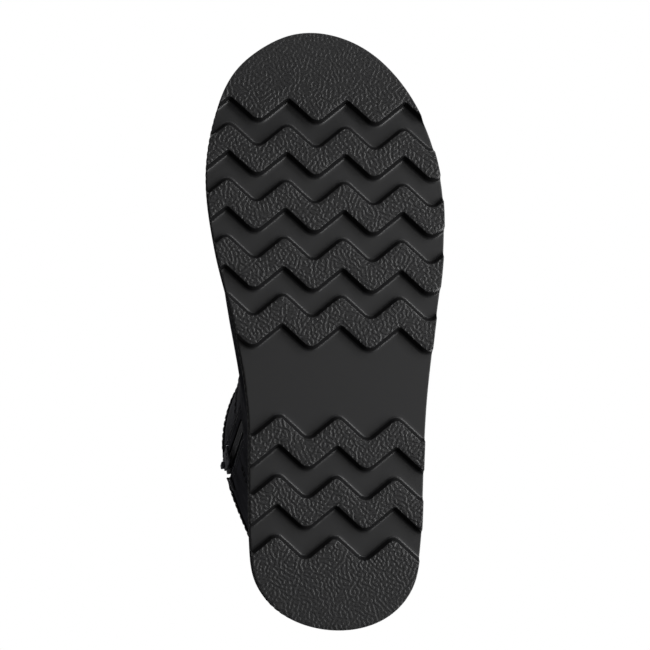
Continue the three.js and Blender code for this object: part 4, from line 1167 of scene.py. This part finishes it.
# Ribbed webbing, 18 mm: a rib each 1.1 mm up the strap, threads 0.9 mm apart across it.
ribbed_webbing = woven("ribbed_black_webbing", "0f0f10", "29292c",
                       2 * TAB_HALF, tab_length / MM, 0.9, 1.1)
tab_piece = piece("pull_tab_webbing", tab, ribbed_webbing, "pull_tab", slot="webbing")
thicken(tab_piece, TAB_THICKNESS)

# ---- Zip ---------------------------------------------------------------------------------------
# A moulded acetal chain on polyester tape, stops at both ends, and a die-cast slider with a
# pressed puller. A woven guard behind it keeps the teeth off the foot.


def zip_sheet(name, node_name, near, far, rows, cell_count, height, thickness):
    """A strip of cloth along the zip, from near to far of it. Its threads are 0.8 mm apart."""
    mesh = panel(lambda t: [beside(t, zip_turn(t), near), beside(t, zip_turn(t), far)],
                 [cell_count], rows, height, edge=0)
    area = sum(f.calc_area() for f in mesh.faces) * MM * MM
    wide = abs(near - far) * MM
    long = area / wide
    cloth = woven(name + "_weave", "0b0b0c", "19191b", wide / MM, long / MM, 0.8, 0.8, 0.15)
    made = thicken(piece(name, mesh, cloth, node_name, slot="webbing"), thickness)


TAPE_OUTER, TAPE_INNER, TAPE_THICKNESS = 13, 0.4, 0.7
GUARD_HALF, GUARD_THICKNESS = 16, 1.2
tape_rows = rows_between(slot_station - 0.12, TOP - 0.03, 30)
guard_rows = rows_between(slot_station - 0.3, TOP - 0.02, 30)
for side, name in ((1, "front"), (-1, "rear")):
    zip_sheet("zip_tape_" + name + "_cloth", "zip_tape_" + name, side * TAPE_OUTER,
              side * TAPE_INNER, tape_rows, 10, STIFFENER_TOP, TAPE_THICKNESS)
zip_sheet("zip_guard_cloth", "zip_guard", GUARD_HALF, -GUARD_HALF, guard_rows, 14,
          LINING_FOOT - PLY_GAP, GUARD_THICKNESS)

# Moulded acetal: black, with a soft gloss, faintly matt from the mould.
acetal = plastic_like("moulded_black_acetal", "202022", 0.35, 0.4, 0.02)
coat(acetal, "zip_teeth_front", "zip_teeth_rear", "zip_top_stop_front", "zip_top_stop_rear",
     "zip_bottom_stop")

# Die-cast zinc, plated gunmetal and tumbled: dark, with rounded edges that catch the light.
gunmetal = plastic_like("plated_gunmetal", "4a4a4e", 0.36, 0.9, 0.015, Metallic=0.6)
CHAIN_TOP, CHAIN_BOTTOM = -0.55, -LEATHER + 0.05
SLIDER_LENGTH, SLIDER_HALF, FLANGE_IN, SLIDER_TAPER = 12, 3.9, 2.75, 0.86
PLATE_FOOT, PLATE_TOP = CHAIN_TOP + 0.35, CHAIN_TOP + 1.35
BRIDGE_RISE, BRIDGE_HALF, BRIDGE_REACH, BRIDGE_POST, BRIDGE_BAR = 1.9, 1.1, 4.6, 1.3, 0.8
CAST_EDGE, PRESSED_EDGE = 0.3, 0.35
slider_top = (zip_head - zip_foot).length - GAP
slider_foot = slider_top - SLIDER_LENGTH
slider_middle = (slider_top + slider_foot) / 2
hinge_out = PLATE_TOP + BRIDGE_RISE / 2


def zip_block(mesh, across, along, out, rounding, taper=1.0):
    """A rounded block, from and to across, up and out from the zip, with a narrower foot end."""
    made = bmesh.ops.create_cube(mesh, size=1)["verts"]
    spans = (across, along, out)
    bmesh.ops.scale(mesh, vec=[high - low for low, high in spans], verts=made)
    for vert in made:
        if vert.co.y < 0:
            vert.co.x *= taper
    bmesh.ops.translate(mesh, vec=[sum(span) / 2 for span in spans], verts=made)
    edges = list({e for v in made for e in v.link_edges})
    bmesh.ops.bevel(mesh, geom=edges, offset=rounding, segments=3, profile=0.5,
                    affect="EDGES", material=-1)


slider = bmesh.new()
slider_length = (slider_foot, slider_top)
zip_block(slider, (-SLIDER_HALF, SLIDER_HALF), slider_length, (PLATE_FOOT, PLATE_TOP),
          0.42, SLIDER_TAPER)
for side in (-1, 1):
    zip_block(slider, sorted((side * FLANGE_IN, side * SLIDER_HALF)), slider_length,
              (CHAIN_BOTTOM + 0.05, PLATE_FOOT + 0.4), CAST_EDGE)
bridge, bridge_top = (-BRIDGE_HALF, BRIDGE_HALF), PLATE_TOP + BRIDGE_RISE
bridge_foot, bridge_head = slider_middle - BRIDGE_REACH, slider_middle + BRIDGE_REACH
for foot in (bridge_foot, bridge_head - BRIDGE_POST):
    zip_block(slider, bridge, (foot, foot + BRIDGE_POST),
              (PLATE_TOP - 0.4, bridge_top + 0.5), CAST_EDGE)
zip_block(slider, bridge, (bridge_foot, bridge_head), (bridge_top, bridge_top + BRIDGE_BAR),
          CAST_EDGE)
slider.transform(ZIP_FRAME)
piece("zip_slider_cast", slider, gunmetal, "zip_slider", body="slider", slot="zip_metal")

PIN, PIN_LENGTH, ARM_IN, ARM_OUT, PULLER_HALF, PULLER_THICKNESS = 0.6, 4, 1.7, 3.0, 4, 1.1
# The plate's bars, as (from, to across it, from, to up from its neck)
PULLER_BARS = [(-PULLER_HALF, PULLER_HALF, -3, 0), (-PULLER_HALF, PULLER_HALF, -20, -17),
               (-PULLER_HALF, PULLER_HALF, -12, -2.4), (-PULLER_HALF, -ARM_IN, -18, -11),
               (ARM_IN, PULLER_HALF, -18, -11)]
puller = bmesh.new()
neck = slider_middle - 8
depth = (hinge_out - PULLER_THICKNESS / 2, hinge_out + PULLER_THICKNESS / 2)
for side in (-1, 1):
    zip_block(puller, sorted((side * ARM_IN, side * ARM_OUT)), (neck - 2, slider_middle + 0.75),
              depth, PRESSED_EDGE)
for left, right, foot, head in PULLER_BARS:
    zip_block(puller, (left, right), (neck + foot, neck + head), depth, 0.4)
pin = bmesh.ops.create_cone(puller, cap_ends=True, segments=24, radius1=PIN, radius2=PIN,
                            depth=PIN_LENGTH)["verts"]
bmesh.ops.rotate(puller, verts=pin, matrix=Matrix.Rotation(math.pi / 2, 3, "Y"))
bmesh.ops.translate(puller, verts=pin, vec=(0, slider_middle, hinge_out))
puller.transform(ZIP_FRAME)
piece("zip_puller_pressed", puller, gunmetal, "zip_puller", body="puller", slot="zip_metal")

# ---- Collar snap ---------------------------------------------------------------------------------
# The ring half of a press stud behind the zip: spun from sheet brass and nickelled.

# (radius, height) round the ring's section
SNAP_PROFILE = [(1.5, 0), (3.2, 0), (3.6, 0.25), (3.6, 0.55), (3.3, 0.95), (2.8, 1.2),
                (2.4, 1.18), (2.1, 0.9), (1.75, 0.85), (1.5, 0.6)]
SNAP_DROP, SNAP_BEHIND = 12, -10
snap = bmesh.new()
ring = [snap.verts.new((r, 0, h)) for r, h in SNAP_PROFILE]
for a, b in zip(ring, ring[1:] + ring[:1]):
    snap.edges.new((a, b))
bmesh.ops.spin(snap, geom=snap.verts[:] + snap.edges[:], axis=(0, 0, 1), cent=(0, 0, 0),
               angle=FULL, steps=40, use_merge=True)
bmesh.ops.remove_doubles(snap, verts=snap.verts, dist=0.001)
face_outwards(snap)
snap_t = station_at(TOP_HEIGHT - SNAP_DROP)
snap_turn = angle_at(lambda t: beside(t, zip_turn(t), SNAP_BEHIND), snap_t)
snap_out = Vector(off_last([snap_t], [snap_turn])[0])
snap_place = Vector(upper_points([snap_t], np.array([snap_turn]), 0.15)[0])
snap_facing = snap_out.to_track_quat("Z", "Y").to_matrix().to_4x4()
snap.transform(Matrix.Translation(snap_place) @ snap_facing)
# Nickel over brass: a dulled dark silver, worn soft.
nickel = plastic_like("nickelled_brass", "56565a", 0.36, 0.9, 0.01, Metallic=0.6)
piece("collar_snap_ring", snap, nickel, "collar_snap", slot="steel")
